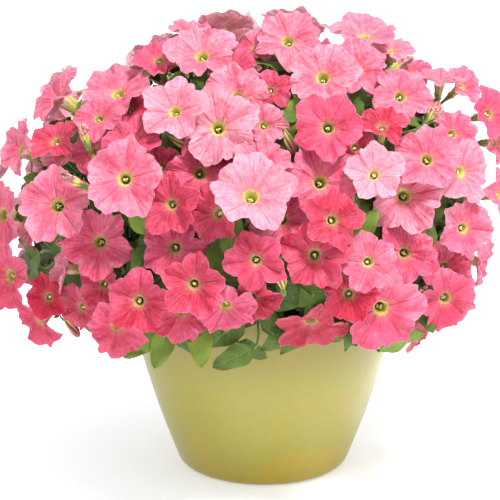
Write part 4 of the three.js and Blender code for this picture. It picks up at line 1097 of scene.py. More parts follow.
    def pressed(self, flower: Flower, points: Array) -> Array:
        """Presses a limb's points below the flowers over it, with the push smoothed over their neighbours.

        Near the axis of such a flower they go further down round its tube, so that none shows in its throat.
        """
        moved = points.copy()
        for other in flower.above:
            height = other.height_over(moved, 1.0)
            over = ~np.isnan(height) & (height > -PETAL_GAP) & (height + PETAL_GAP < MOST_BEND)
            moved -= other.facing * np.where(over, height + PETAL_GAP, 0.0)[..., None]
            height, distance = other.reach(moved)
            away = distance / other.radius
            most = -PETAL_GAP - self.under_tube * other.radius * (1 - smooth(0.1, self.tube_reach, away))
            inside = (away < self.tube_reach) & (height > most) & (height < MOST_BEND)
            moved -= other.facing * np.where(inside, height - most, 0.0)[..., None]
        push = moved - points
        for _ in range(3):
            push = (np.roll(push, 1, axis=1) + 2 * push + np.roll(push, -1, axis=1)) / 4
            padded = np.concatenate([push[:1], push, push[-1:]])
            push = (padded[:-2] + 2 * push + padded[2:]) / 4
        return points + push

    def flower(self, skin: Skin, flower: Flower) -> None:
        """Adds one flower: throat, limb front and back, and the tube down to its foot."""
        front, angle, radius = self.limb(flower), circle(self.columns), flower.radius
        share = np.array(self.limb_shares)
        thickness = self.root_thickness + (self.edge_thickness - self.root_thickness) * share**0.5
        onwards = np.roll(front, -1, axis=1) - np.roll(front, 1, axis=1)
        back = front - unit(np.cross(np.gradient(front, axis=0), onwards)) * thickness[:, None, None]
        inner = np.array(self.throat_shares)[:, None]
        wide = THROAT_SHARE * radius * (1 - self.throat_narrowing * inner**0.8) + 0 * angle
        inside = flower.place(wide, angle + 0 * inner, -self.throat_depth * radius * inner)
        down = np.linspace(0, 1, self.tube_rows)[:, None]
        start = THROAT_SHARE * radius + 1
        ribs = 1 + self.rib * np.cos(LOBES * angle + np.pi) * (1 - down)
        wide = (start + (TUBE_FOOT - start) * down**0.85) * ribs
        tube = flower.place(wide, angle + 0 * down, -LIMB_ROOT - (TUBE_SHARE * radius - LIMB_ROOT) * down)
        rings = np.concatenate([inside, front, back[::-2], tube])
        place = np.concatenate([-inner[:, 0], share, share[::-2], -down[:, 0]])[:, None]
        is_back = np.arange(len(rings))[:, None] >= len(inner) + len(share)
        draws = Draws(SEED_TONE + flower.number)
        tone = (flower.depth, draws.next(), draws.next())
        skin.tube(rings, 0, (place, np.abs(lobe_at(angle)[1]), is_back), tone)
        self.anthers(skin, flower, draws)

    def anthers(self, skin: Skin, flower: Flower, draws: Draws) -> None:
        """Adds five pale anthers round a green tip, each on its thread from the throat's bottom."""
        floor = flower.throat - flower.facing * self.throat_depth * 0.92 * flower.radius
        t = np.linspace(-1, 1, 5)
        for k in range(LOBES + 1):
            is_tip = k == LOBES
            angle = TURN * (k / LOBES + self.anther_turn * draws.next())
            out = 0.0 if is_tip else draws.between(*self.anther_out) * flower.radius
            across = flower.side * math.cos(angle) + flower.up * math.sin(angle)
            depth = (self.tip_depth if is_tip else draws.between(*self.anther_depth)) * flower.radius
            centre = flower.throat + across * out - flower.facing * depth
            size = self.tip_size if is_tip else self.anther_size
            path = centre + flower.facing * (size * self.anther_length * t)[:, None]
            radii = size * np.sqrt(np.maximum(0.06, 1 - t**2))
            skin.tube(round_rings(path, radii, 6, flower.side), 1, tone=(is_tip, 0, 0))
            thread = np.stack([floor + across * out * 0.4, centre])
            skin.tube(round_rings(thread, np.full(2, self.thread), 3, flower.side), 1, tone=(1, 0, 0))


@dataclass(frozen=True)
class SepalMaker:
    """The five narrow sepals at the foot of a flower or a bud. Sizes are in millimetres."""

    rows: int = 6
    turn: Span = (-0.15, 0.15)
    reach: Span = (0.85, 1.15)
    spread: Span = (2.0, 4.5)
    behind: float = 1.5
    out: float = 1.5
    width: float = 1.25
    thickness: float = 0.35

    def calyx(self, skin: Skin, foot: Array, facing: Array, side: Array, length: float, seed: int) -> None:
        """Adds five sepals that hold a foot and spread at their tips.

        A sepal runs forward by its length, outwards with the square of the way, and is lens shaped across.
        """
        draws = Draws(seed)
        up = np.cross(facing, side)
        t = np.linspace(0, 1, self.rows)[:, None]
        for k in range(LOBES):
            angle = TURN * (k + 0.5) / LOBES + draws.between(*self.turn)
            across = side * math.cos(angle) + up * math.sin(angle)
            reach = length * draws.between(*self.reach)
            spread = draws.between(*self.spread)
            path = foot - facing * self.behind + facing * (reach * t) + across * (self.out + spread * t**2)
            flat = np.cross(facing, across) * (self.width * np.sin(np.pi * (0.22 + 0.74 * t)) ** 0.8)
            thick = across * self.thickness
            rings = np.stack([path - thick, path - flat, path + thick, path + flat], axis=1)
            skin.tube(rings, 0, (0.8 + 0.2 * t, 0, 0), (draws.next(), 0, 0))


@dataclass(frozen=True)
class LeafMaker:
    """Soft oval leaves with a sunken rib and raised cushions between their side veins.

    Cushion and groove are shares of the leaf's length, the thickness is in millimetres.
    """

    rows: int = 12
    columns: int = 9
    thickness: float = 0.9
    fullness: float = 0.62
    cushion: float = 0.035
    groove: float = 0.02
    rib_width: float = 0.16
    side_veins: float = 6.5
    vein_slant: float = 1.5

    def leaf(self, skin: Skin, leaf: Growth) -> None:
        """Adds one leaf: its upper side and its underside in one closed skin.

        The upper side's extra height is a groove along the rib and a wave between the side veins. The
        underside lies a thickness below it, thinner towards the edges and thicker under the rib.
        """
        along = np.linspace(0, 1, self.rows) ** 0.92
        over = np.linspace(1, -1, self.columns)
        t, x = np.meshgrid(along, over, indexing="ij")
        side = np.abs(x)
        cushion = np.sin(np.pi * (self.side_veins * t - self.vein_slant * side)) ** 2 * side * (1 - side)
        raised = self.cushion * cushion * leaf_outline(t, self.fullness)
        relief = leaf.length * (raised - self.groove * bell(x, self.rib_width) * (1 - t))
        upper = leaf.blade(t, x, self.fullness) + leaf.upper * relief[..., None]
        gap = self.thickness * (np.sqrt(np.maximum(0, 1 - x**2)) + 0.7 * bell(x, 0.2)) * (1 - 0.5 * t)
        lower = upper - leaf.upper * gap[..., None]
        rings = np.concatenate([upper, lower[:, -2:0:-1]], axis=1)
        across = np.concatenate([over, over[-2:0:-1]])
        is_under = np.arange(len(across)) >= self.columns
        skin.tube(rings, 1, (along[:, None], across, is_under), (leaf.tone, leaf.phase / 6, 0))


@dataclass(frozen=True)
class BudMaker:
    """Furled buds: a tube that swells past its middle and is twisted to a point."""

    rows: int = 16
    columns: int = 30
    slimness: float = 0.92
    belly: float = 0.62
    foot: float = 0.42
    nod: float = 0.06
    fold: float = 0.24
    twist: float = 1.6
    crumple: float = 0.2

    def bud(self, skin: Skin, bud: Growth) -> None:
        """Adds one bud, or a spent flower where it is crowded.

        Its radius rises to the belly and falls to the tip, and five folds turn round it. A spent one is
        crumpled towards its tip.
        """
        t = np.linspace(0, 1, self.rows)[:, None]
        path = bud.base + bud.along * (bud.length * t) - bud.upper * (self.nod * bud.length * t**2)
        rising = self.foot + (1 - self.foot) * smooth(0, self.belly, t)
        falling = np.sqrt(np.maximum(0.02, 1 - ((t - self.belly) / 0.4) ** 2))
        angle = circle(self.columns)
        folding = np.cos(LOBES * (angle + self.twist * t))
        folds = 1 + self.fold * smooth(0.05, 0.6, t) * folding
        if bud.crowded:
            crumple = np.sin(7 * angle + 9 * t + bud.phase) + np.sin(11 * t - 3 * angle)
            folds = folds * (1 + self.crumple * crumple * smooth(0.45, 0.9, t))
        radii = BUD_RADIUS * self.slimness * np.where(t < self.belly, rising, falling) * folds
        rings = round_rings(path, np.ones(self.rows), self.columns, bud.across)
        rings = path[:, None] + (rings - path[:, None]) * radii[..., None]
        skin.tube(rings, 2, (t, 0.5 - 0.5 * folding, 0), (bud.tone, bud.crowded, 0))


class InnerLeaves:
    """The foliage under the flowers, and spent flowers: on short stalks from the nearest stems."""

    # Shells of leaves: size as a share of the mound, how many, first turn.
    shells = ((0.93, 150, 0.4), (0.86, 260, 2.2), (0.77, 230, 4.1), (0.66, 160, 1.7), (0.54, 90, 3.3))
    # Leaves in a gap in front: across, down, millimetres sunk.
    front_gaps = (
        (288, 309, 8),
        (283, 304, 14),
        (294, 305, 20),
        (289, 312, 30),
        (300, 303, 26),
        (281, 300, 34),
        (292, 298, 12),
    )
    # Spent flowers in front: across, down, degrees that the tip points to, length in millimetres.
    spent_front = ((395, 72, 24, 27), (428, 121, 48, 20), (80, 184, 150, 24), (90, 141, 100, 21))
    spent_rest = 12
    # Where a stalk may start on a stem: the first share, the last share, how many.
    joints = (0.12, 0.99, 60)
    seeds_for_shell = 500
    gap_scale = 0.9
    # A leaf may sink less where its shell is smaller than this share.
    outer_scale = 0.8
    outer_sink = 26.0
    inner_sink = 14.0
    below_flowers = 0.5
    over_rim = 3.0
    beside_rim = 5.0
    over_lowest = 4.0
    tries = 4
    leaf_length = (28, 44)
    leaf_lift = (0.15, 0.7)
    spent_length = (22, 28)
    spent_out = 7.0
    spent_over_lowest = 20.0
    spent_sepals = 9.0
    stalk = (0.7, 0.75)
    tube_room = 3.5
    longest_stalk = 48
    sectors = 6

    def __init__(self, layout: Layout) -> None:
        """Finds room for the leaves among the plant's flowers and stems."""
        self.flowers = layout.flowers
        stems = [*layout.sprays, *layout.leafy_stems]
        self.tree = tree_of(np.concatenate([stem.at(np.linspace(*self.joints)) for stem in stems]))
        self.tubes = np.concatenate([between(f.foot, f.throat) for f in layout.flowers])
        self.items: list[Growth] = []
        for number, (scale, count, turn) in enumerate(self.shells):
            for i, spot in enumerate(MOUND.spread(count, LOWEST_THROAT, turn, scale)):
                self.try_leaf(spot, scale, Draws(SEED_INNER + self.seeds_for_shell * number + i))
        for number, (across, down, sunk) in enumerate(self.front_gaps):
            spot = SIGHT.meet(MOUND, across, down)
            self.try_leaf(spot - MOUND.normal(spot) * sunk, self.gap_scale, Draws(SEED_FILL + number))
        for number, (across, down, pointing, length) in enumerate(self.spent_front):
            spot = SIGHT.meet(MOUND, across, down)
            normal = MOUND.normal(spot)
            along = unit(SIGHT.turned(pointing) + 0.3 * normal)
            self.add_spent(spot + normal * self.spent_out, along, length, Draws(SEED_SPENT + number))
        lowest = LOWEST_THROAT + self.spent_over_lowest
        for number, spot in enumerate(MOUND.spread(self.spent_rest, lowest, 0.9)):
            draws = Draws(SEED_SPENT_REST + number)
            normal = MOUND.normal(spot)
            along = unit(normal + 0.9 * np.cross(UP, normal) * draws.between(-1, 1) + 0.2 * UP)
            if spot[1] > 0:
                self.add_spent(spot, along, draws.between(*self.spent_length), draws)

    def try_leaf(self, spot: Array, scale: float, draws: Draws) -> None:
        """Adds a leaf near a spot where it stays below the flowers, outside the pot and near a stem."""
        normal = MOUND.normal(spot)
        length = draws.between(*self.leaf_length)
        most_sink = self.outer_sink if scale > self.outer_scale else self.inner_sink
        near = [f for f in self.flowers if apart(f.throat, spot) < f.radius + length]
        for _ in range(self.tries):
            along = unit(turned(normal, draws.between(0, TURN)) + normal * draws.between(*self.leaf_lift))
            leaf = Growth.round_middle(Kind.LEAF, spot, along, unit(normal + 0.4 * UP), length, draws)
            # Painted shade: leaves on smaller shells, deeper under the flowers, get a darker green.
            leaf.tone *= scale - 0.4
            need = need_below(leaf.samples(), -normal, near, self.below_flowers)
            leaf.base = leaf.base - normal * need
            root, _, away = self.tree.find(leaf.base.tolist())
            if need <= most_sink and away <= self.longest_stalk and self.fits(leaf.samples()):
                leaf.root = np.array(root)
                self.items.append(leaf)
                return

    def fits(self, points: Array) -> bool:
        """Returns whether points lie outside the pot's wall, not too low, and clear of the tubes."""
        outside = np.hypot(points[:, 0], points[:, 1]) - POT.radius(POT.height)
        in_wall = (points[:, 2] < POT.height + self.over_rim) & (outside < self.beside_rim)
        if in_wall.any() or points[:, 2].min() < LOWEST_THROAT + self.over_lowest:
            return False
        return np.linalg.norm(points[:, None] - self.tubes[None], axis=-1).min() >= self.tube_room

    def add_spent(self, middle: Array, along: Array, length: float, draws: Draws) -> None:
        """Adds a spent, crumpled flower round its middle, on a stalk from the nearest stem."""
        normal = MOUND.normal(middle)
        spent = Growth.round_middle(Kind.BUD, middle, along, normal, length, draws)
        spent.upper = unit(normal - along * (normal @ along) + 0.01 * UP)
        spent.tone = 1.0
        spent.crowded = True
        spent.root = np.array(self.tree.find(spent.base.tolist())[0])
        self.items.append(spent)

    def make(self, finishes: Sequence[Finish]) -> None:
        """Makes the leaves and the spent flowers as pieces, a sector of the mound to each."""
        skins = [Skin() for _ in range(self.sectors)]
        stalks, leaves = StemMaker(stalk_rows=5), LeafMaker(rows=8, columns=5)
        buds, sepals = BudMaker(), SepalMaker()
        for number, item in enumerate(self.items):
            turn = math.atan2(item.base[1], item.base[0]) / TURN + 0.5
            skin = skins[min(self.sectors - 1, int(turn * self.sectors))]
            if item.kind is Kind.BUD:
                buds.bud(skin, item)
                length, seed = self.spent_sepals, SEED_SPENT_CALYX + number
                sepals.calyx(skin, item.base, item.along, item.across, length, seed)
            else:
                leaves.leaf(skin, item)
            stalks.stalk(skin, item.root, item.base, item.along, self.stalk)
        for number, skin in enumerate(skins, 1):
            skin.piece(f"inner_leaves_{number}", finishes, "leaf_green")


def linear(colour: Sequence[float]) -> tuple[float, float, float, float]:
    """Returns a display colour, 0 to 255, as the renderer's linear one: ((c + 0.055) / 1.055) to the 2.4."""
    shares = [value / 255 for value in colour]
    return (*(c / 12.92 if c <= 0.04045 else ((c + 0.055) / 1.055) ** 2.4 for c in shares), 1.0)


def operator(operation: str, is_flipped: bool = False) -> Callable[[Wire, Wire | float], Wire]:
    """Returns a method for an arithmetic sign of Wire, or for its reflected form."""

    def apply(wire: Wire, other: Wire | float) -> Wire:
        """Returns the result of the sign."""
        return wire.result(operation, *((other, wire) if is_flipped else (wire, other)))

    return apply


class Wire:
    """A value on its way through a finish's shader, with the usual arithmetic."""

    def __init__(self, finish: Finish, socket: bpy.types.NodeSocket) -> None:
        """Wraps an output socket of a finish."""
        self.finish = finish
        self.socket = socket

    def result(self, operation: str, *values: Wire | float) -> Wire:
        """Returns the result of a Math node."""
        return self.finish.wire("Math", dict(enumerate(values)), operation=operation)

    __add__ = operator("ADD")
    __radd__ = operator("ADD", is_flipped=True)
    __sub__ = operator("SUBTRACT")
    __rsub__ = operator("SUBTRACT", is_flipped=True)
    __mul__ = operator("MULTIPLY")
    __rmul__ = operator("MULTIPLY", is_flipped=True)
    __truediv__ = operator("DIVIDE")

    def sine(self) -> Wire:
        """Returns the sine."""
        return self.result("SINE", self)

    def absolute(self) -> Wire:
        """Returns the value without its sign."""
        return self.result("ABSOLUTE", self)

    def smooth(self, low: float, high: float) -> Wire:
        """Returns 0 at low and 1 at high, with an S-shaped rise between them."""
        inputs = {"Value": self, "From Min": low, "From Max": high, "To Min": 0.0, "To Max": 1.0}
        return self.finish.wire("MapRange", inputs, interpolation_type="SMOOTHSTEP", clamp=True)

    def near(self, middle: float, width: float) -> Wire:
        """Returns 1 at a middle value, falling to 0 a width away."""
        return 1 - (self - middle).absolute().smooth(0.0, width)


class Finish:
    """A material. Each kind gives its name, values for its shader's sockets, and what varies over it.

    Colours are display colours, 0 to 255. The relief's depth is how deep a relief of 1 is, in metres.
    """

    name: str
    constants: dict[str, float | tuple] = {}
    relief_depth: float

    def __init__(self) -> None:
        """Makes the material with one glossy shader and paints it."""
        self.material = bpy.data.materials.new(self.name)
        self.material.use_nodes = True
        self.tree = self.material.node_tree
        self.shader = self.tree.nodes["Principled BSDF"]
        for key, value in self.constants.items():
            self.shader.inputs[key].default_value = value
        self.paint()

    def paint(self) -> None:
        """Links what varies over the surface, which is nothing on a plain one."""

    def node(self, kind: str, inputs: dict[str | int, object], **settings: object) -> bpy.types.Node:
        """Adds a node, sets it up, and gives its sockets their values or links."""
        node = self.tree.nodes.new(f"ShaderNode{kind}")
        for key, value in settings.items():
            setattr(node, key, value)
        for key, value in inputs.items():
            if isinstance(value, Wire):
                self.tree.links.new(value.socket, node.inputs[key])
            else:
                node.inputs[key].default_value = value
        return node

    def wire(
        self, kind: str, inputs: dict[str | int, object], output: int | str = 0, **settings: object
    ) -> Wire:
        """Returns an output of a new node."""
        return Wire(self, self.node(kind, inputs, **settings).outputs[output])

    def split(self, vector: Wire) -> tuple[Wire, Wire, Wire]:
        """Returns the three numbers of a vector."""
        node = self.node("SeparateXYZ", {0: vector})
        return tuple(Wire(self, node.outputs[i]) for i in range(3))

    def attribute(self, name: str) -> tuple[Wire, Wire, Wire]:
        """Returns the three numbers of a mark or a tone on the mesh."""
        return self.split(self.wire("Attribute", {}, "Vector", attribute_name=name))

    def height(self) -> Wire:
        """Returns the height on the object, in metres."""
        return self.split(self.wire("TexCoord", {}, "Object"))[2]

    def place(self, scale: tuple[float, float, float] = (1, 1, 1)) -> Wire:
        """Returns the place on the object, in metres, stretched by a scale."""
        place = self.wire("TexCoord", {}, "Object")
        return self.wire("Mapping", {"Vector": place, "Scale": scale}, vector_type="POINT")

    def noise(self, scale: float, detail: float = 3.0, where: Wire | None = None) -> Wire:
        """Returns a cloudy pattern from 0 to 1."""
        inputs = {"Vector": where or self.place(), "Scale": scale, "Detail": detail, "Roughness": 0.55}
        return self.wire("TexNoise", inputs)

    def blend(self, factor: Wire, first: Wire | Colour, second: Wire | Colour) -> Wire:
        """Returns the mixture of two colours."""
        low, high = (colour if isinstance(colour, Wire) else linear(colour) for colour in (first, second))
        return self.wire("Mix", {0: factor, 6: low, 7: high}, 2, data_type="RGBA", clamp_factor=True)

    def ramp(self, factor: Wire, stops: Ramp) -> Wire:
        """Returns a colour from a ramp through stops of place and colour."""
        node = self.node("ValToRGB", {0: factor})
        elements = node.color_ramp.elements
        while len(elements) < len(stops):
            elements.new(0.5)
        for element, (place, colour) in zip(elements, stops):
            element.position = place
            element.color = linear(colour)
        return Wire(self, node.outputs[0])

    def link(self, colour: Wire, roughness: Wire | None, relief: Wire) -> None:
        """Links the colour, the roughness and a relief to the shader.

        Args:
            colour: The base colour.
            roughness: The roughness, or none to keep the shader's own.
            relief: The relief, from 0 to 1.
        """
        bump = self.wire("Bump", {"Height": relief, "Distance": self.relief_depth, "Strength": 1.0})
        links = {"Base Color": colour, "Roughness": roughness, "Normal": bump}
        for key, value in links.items():
            if value is not None:
                self.tree.links.new(value.socket, self.shader.inputs[key])


class PetalFinish(Finish):
    """Salmon pink petals: veined, paler round a cream and lime throat, deeper in some flowers, with painted
    shade deepening the lower ones and painted light on their paler backs.
    """

    name = "petal_pink"
    constants = {
        "Roughness": 0.6,
        "Subsurface Weight": 0.65,
        "Subsurface Scale": 0.0035,
        "Subsurface Radius": (1.0, 0.5, 0.55),
    }
    relief_depth = 0.0019
    limb: Ramp = ((0.0, (222, 140, 155)), (0.45, (206, 72, 106)), (1.0, (162, 0, 42)))
    vein: Colour = (206, 66, 88)
    deep_vein: Colour = (134, 10, 40)
    # The back's colour: the petal's own paler reverse, made lighter still as painted light shining through
    # the petal.
    reverse_and_painted_light: Colour = (240, 170, 182)
    glow: Colour = (214, 156, 132)
    bottom: Colour = (92, 84, 26)
    pale_throat: Ramp = ((0.0, (208, 194, 128)), (0.25, (206, 200, 86)), (0.7, (184, 180, 60)), (1.0, bottom))
    deep_throat: Ramp = ((0.0, (184, 150, 108)), (0.2, (168, 152, 76)), (0.55, (140, 130, 46)), (1.0, bottom))
    tube: Ramp = ((0.0, (230, 190, 150)), (0.4, (196, 188, 92)), (1.0, (150, 160, 66)))
    tube_vein: Colour = (132, 86, 60)
    # Painted shade: below the first height, in metres, flowers are painted deeper, as if less lit. Above the
    # second they aren't.
    painted_shade_below = (0.14, 0.24)

    def paint(self) -> None:
        """Paints the limb, deeper on the lower flowers as painted shade, its veins, and its back, paler
        partly as painted light, and then the throat and the tube.
        """
        share, over, back = self.attribute("mark")
        depth, chance, other = self.attribute("tone")
        cloud = self.noise(70.0)
        radial = self.wire("CombineXYZ", {0: over * 11.0, 1: share * 1.3, 2: chance * 60.0})
        streaks = self.noise(1.0, where=radial)
        flecks = self.noise(300.0, 4.0)
        # Painted shade: the lower flowers get a deeper colour.
        low = 1 - self.height().smooth(*self.painted_shade_below)
        shade = depth + (cloud - 0.5) * 0.6 + (streaks - 0.5) * 0.5 + (flecks - 0.5) * 0.5
        shade = shade - (share - 0.6) * 0.12 + low * 0.36
        colour = self.ramp(shade, self.limb)
        sideways = over * (share * (1 - THROAT_SHARE) + THROAT_SHARE)
        rib = sideways.near(0.0, 0.02) * (1 - share.smooth(0.5, 1.05))
        seam = (0.5 - over).near(0.0, 0.05) * 0.5
        wander = (self.noise(200.0, 2.0) - 0.5) * 3.0
        fine = ((over * 46.0 - share * 5.0 + wander).sine() * 0.5 + 0.5).smooth(0.7, 1.0) * 0.12
        veins = (rib * 0.7 + seam * 0.25 + fine * share.smooth(0.1, 0.5)) * share.smooth(-0.02, 0.12)
        colour = self.blend(veins, colour, self.blend(depth, self.vein, self.deep_vein))
        # The back: a paler reverse, partly painted light in place of light shining through the petal.
        colour = self.blend(back * 0.85, colour, self.reverse_and_painted_light)
        glow = (1 - share.smooth(0.0, 0.3)) * 0.3
        colour = self.blend(glow * (1 - back) * (1 - rib * 0.6), colour, self.glow)
        down = 0 - share
        ring = 1 - (share + (streaks - 0.5) * 0.1).smooth(-0.03, 0.075)
        pale, deep = self.ramp(down, self.pale_throat), self.ramp(down, self.deep_throat)
        throat = self.blend(depth.smooth(0.1, 0.6), pale, deep)
        stripes = over.near(0.0, 0.12) * 0.6 + fine * 1.4
        tube = self.blend(stripes, self.ramp(down, self.tube), self.tube_vein)
        colour = self.blend(ring, colour, self.blend(back, throat, tube))
        relief = self.noise(330.0) * 0.7 + self.noise(110.0, 2.0) * 1.2 + streaks * 0.9 - veins * 0.8
        self.link(colour, 0.56 + (other - 0.5) * 0.1 + (cloud - 0.5) * 0.15, relief)


class LeafFinish(Finish):
    """Mid green leaves with pale veins, a soft bloom of hairs and a paler underside."""

    name = "leaf_green"
    constants = {
        "Roughness": 0.55,
        "Specular IOR Level": 0.25,
        "Subsurface Weight": 0.08,
        "Subsurface Scale": 0.002,
    }
    relief_depth = 0.0006
    greens: Ramp = ((0.0, (40, 60, 16)), (0.5, (78, 100, 34)), (1.0, (122, 144, 54)))
    vein: Colour = (132, 156, 78)
    underside: Colour = (106, 128, 48)

    def paint(self) -> None:
        """Paints the blade, its veins and its underside."""
        along, over, under = self.attribute("mark")
        tone, _, _ = self.attribute("tone")
        cloud = self.noise(120.0)
        # The tone is random, and lower on the inner leaves as painted shade.
        colour = self.ramp(tone * 0.75 + cloud * 0.3, self.greens)
        side = over.absolute()
        vein = ((along * 20.4 - side * 4.7).sine() * 0.5 + 0.5).smooth(0.9, 1.0) * (1 - side * 0.7)
        veins = (side.near(0.0, 0.07) + vein * 0.55) * 0.6
        colour = self.blend(veins * 0.5, colour, self.vein)
        colour = self.blend(under * 0.35, colour, self.underside)
        self.link(colour, 0.5 + cloud * 0.2, self.noise(700.0, 2.0) * 0.5 - veins * 0.6)


class StemFinish(Finish):
    """Downy green stems, stalks and sepals."""

    name = "stem_green"
    constants = {"Roughness": 0.6, "Sheen Weight": 0.3}
    relief_depth = 0.0003
    greens: Ramp = ((0.0, (96, 104, 52)), (0.5, (104, 134, 50)), (1.0, (78, 118, 40)))

    def paint(self) -> None:
        """Paints the stem, olive at its foot and fresh green at its end."""
        place, _, _ = self.attribute("mark")
        tone, _, _ = self.attribute("tone")
        cloud = self.noise(160.0)
        colour = self.ramp(place * 0.6 + tone * 0.25 + (cloud - 0.5) * 0.5, self.greens)
        self.link(colour, 0.55 + cloud * 0.2, self.noise(900.0, 2.0))


class BudFinish(Finish):
    """Buds: a yellow green tube with brown veins and a dusky pink twisted tip, brownish where it is spent."""

    name = "bud_green"
    constants = {"Roughness": 0.55, "Sheen Weight": 0.2}
    relief_depth = 0.0005
    tube: Ramp = (
        (0.0, (150, 168, 62)),
        (0.45, (196, 190, 88)),
        (0.72, (206, 130, 110)),
        (1.0, (188, 84, 96)),
    )
    faded: tuple[Colour, Colour] = ((134, 56, 62), (206, 150, 136))
    stripes: tuple[Colour, Colour] = ((92, 58, 34), (104, 40, 48))

    def paint(self) -> None:
        """Paints the tube, the faded tip and the stripes."""
        along, fold, _ = self.attribute("mark")
        tone, spent, _ = self.attribute("tone")
        cloud = self.noise(150.0)
        colour = self.ramp(along + (cloud - 0.5) * 0.2, self.tube)
        faded = self.blend(self.noise(420.0).smooth(0.4, 0.62), *self.faded)
        colour = self.blend(spent * along.smooth(0.42, 0.6), colour, faded)
        stripes = fold.smooth(0.5, 0.8) * (0.85 - spent * 0.45)
        colour = self.blend(stripes, colour, self.blend(tone, *self.stripes))
        self.link(colour, 0.5 + cloud * 0.2, self.noise(600.0, 2.0) - stripes * 0.5)


class AntherFinish(Finish):
    """Cream anthers, and a green tip and threads."""

    name = "anther_cream"
    constants = {"Roughness": 0.7}
    relief_depth = 0.0002
    cream: tuple[Colour, Colour] = ((226, 216, 178), (212, 190, 130))
    green: Colour = (176, 184, 74)

    def paint(self) -> None:
        """Paints the grains of cream and the green."""
        tone, _, _ = self.attribute("tone")
        grain = self.noise(900.0, 2.0)
        self.link(self.blend(tone, self.blend(grain, *self.cream), self.green), None, grain)


class GlazeFinish(Finish):
    """A satin chartreuse glaze: cloudy, speckled, and more golden where it ran thick near the foot."""

    name = "pot_glaze"
    constants = {"Coat Weight": 0.25, "Coat Roughness": 0.28, "Specular IOR Level": 0.45}
    relief_depth = 0.00025
    light: Colour = (146, 139, 48)
    golden: Colour = (162, 138, 24)
    # Painted shade: the darker olive of the upper part, where the plant hangs over it.
    upper: Colour = (124, 106, 30)
    mottle: Colour = (140, 130, 42)
    patches: Colour = (168, 138, 22)
    specks: Colour = (128, 118, 46)

    def paint(self) -> None:
        """Paints the golden foot, a painted shade that darkens the upper part under the plant, and then the
        patches and specks.
        """
        high = self.height() / (POT.height * MM)
        cloud, patch, grain = self.noise(9.0), self.noise(26.0, 4.0), self.noise(700.0, 2.0)
        fine = self.noise(170.0, where=self.place((1.0, 1.0, 2.4)))
        gold = (1 - high.smooth(0.0, 0.3)) * 0.7 + (cloud - 0.5) * 1.6 + (patch - 0.5) * 1.1
        colour = self.blend(gold.smooth(0.05, 0.95), self.light, self.golden)
        # Painted shade on the upper part, under the plant.
        colour = self.blend(high.smooth(0.5, 0.85) * 0.75, colour, self.upper)
        colour = self.blend((fine - 0.48).smooth(0.0, 0.2) * 0.45, colour, self.mottle)
        colour = self.blend((patch - 0.53).smooth(0.0, 0.2) * 0.28, colour, self.patches)
        colour = self.blend(grain.smooth(0.6, 0.74) * 0.2, colour, self.specks)
        roughness = 0.34 + (patch - 0.5) * 0.16 + grain * 0.06
        self.link(colour, roughness, fine * 0.6 + grain * 0.4)


class SoilFinish(Finish):
    """Dark peaty soil with a few pale grains."""

    name = "potting_soil"
    constants = {"Roughness": 0.95}
    relief_depth = 0.0012
    peat: Ramp = ((0.25, (28, 19, 13)), (0.6, (66, 46, 32)), (0.85, (96, 72, 52)))
    pale: Colour = (214, 208, 196)

    def paint(self) -> None:
        """Paints the peat and the pale grains."""
        tone, _, _ = self.attribute("tone")
        colour = self.blend(tone, self.ramp(self.noise(220.0, 5.0), self.peat), self.pale)
        self.link(colour, None, self.noise(500.0, 4.0))


class FloorFinish(Finish):
    """The studio's white floor."""

    name = "studio_white"
    constants = {
        "Roughness": 0.9,
        "Base Color": (0.93, 0.95, 1.0, 1.0),
        "Emission Color": (0.92, 0.95, 1.0, 1.0),
        "Emission Strength": 0.36,
    }


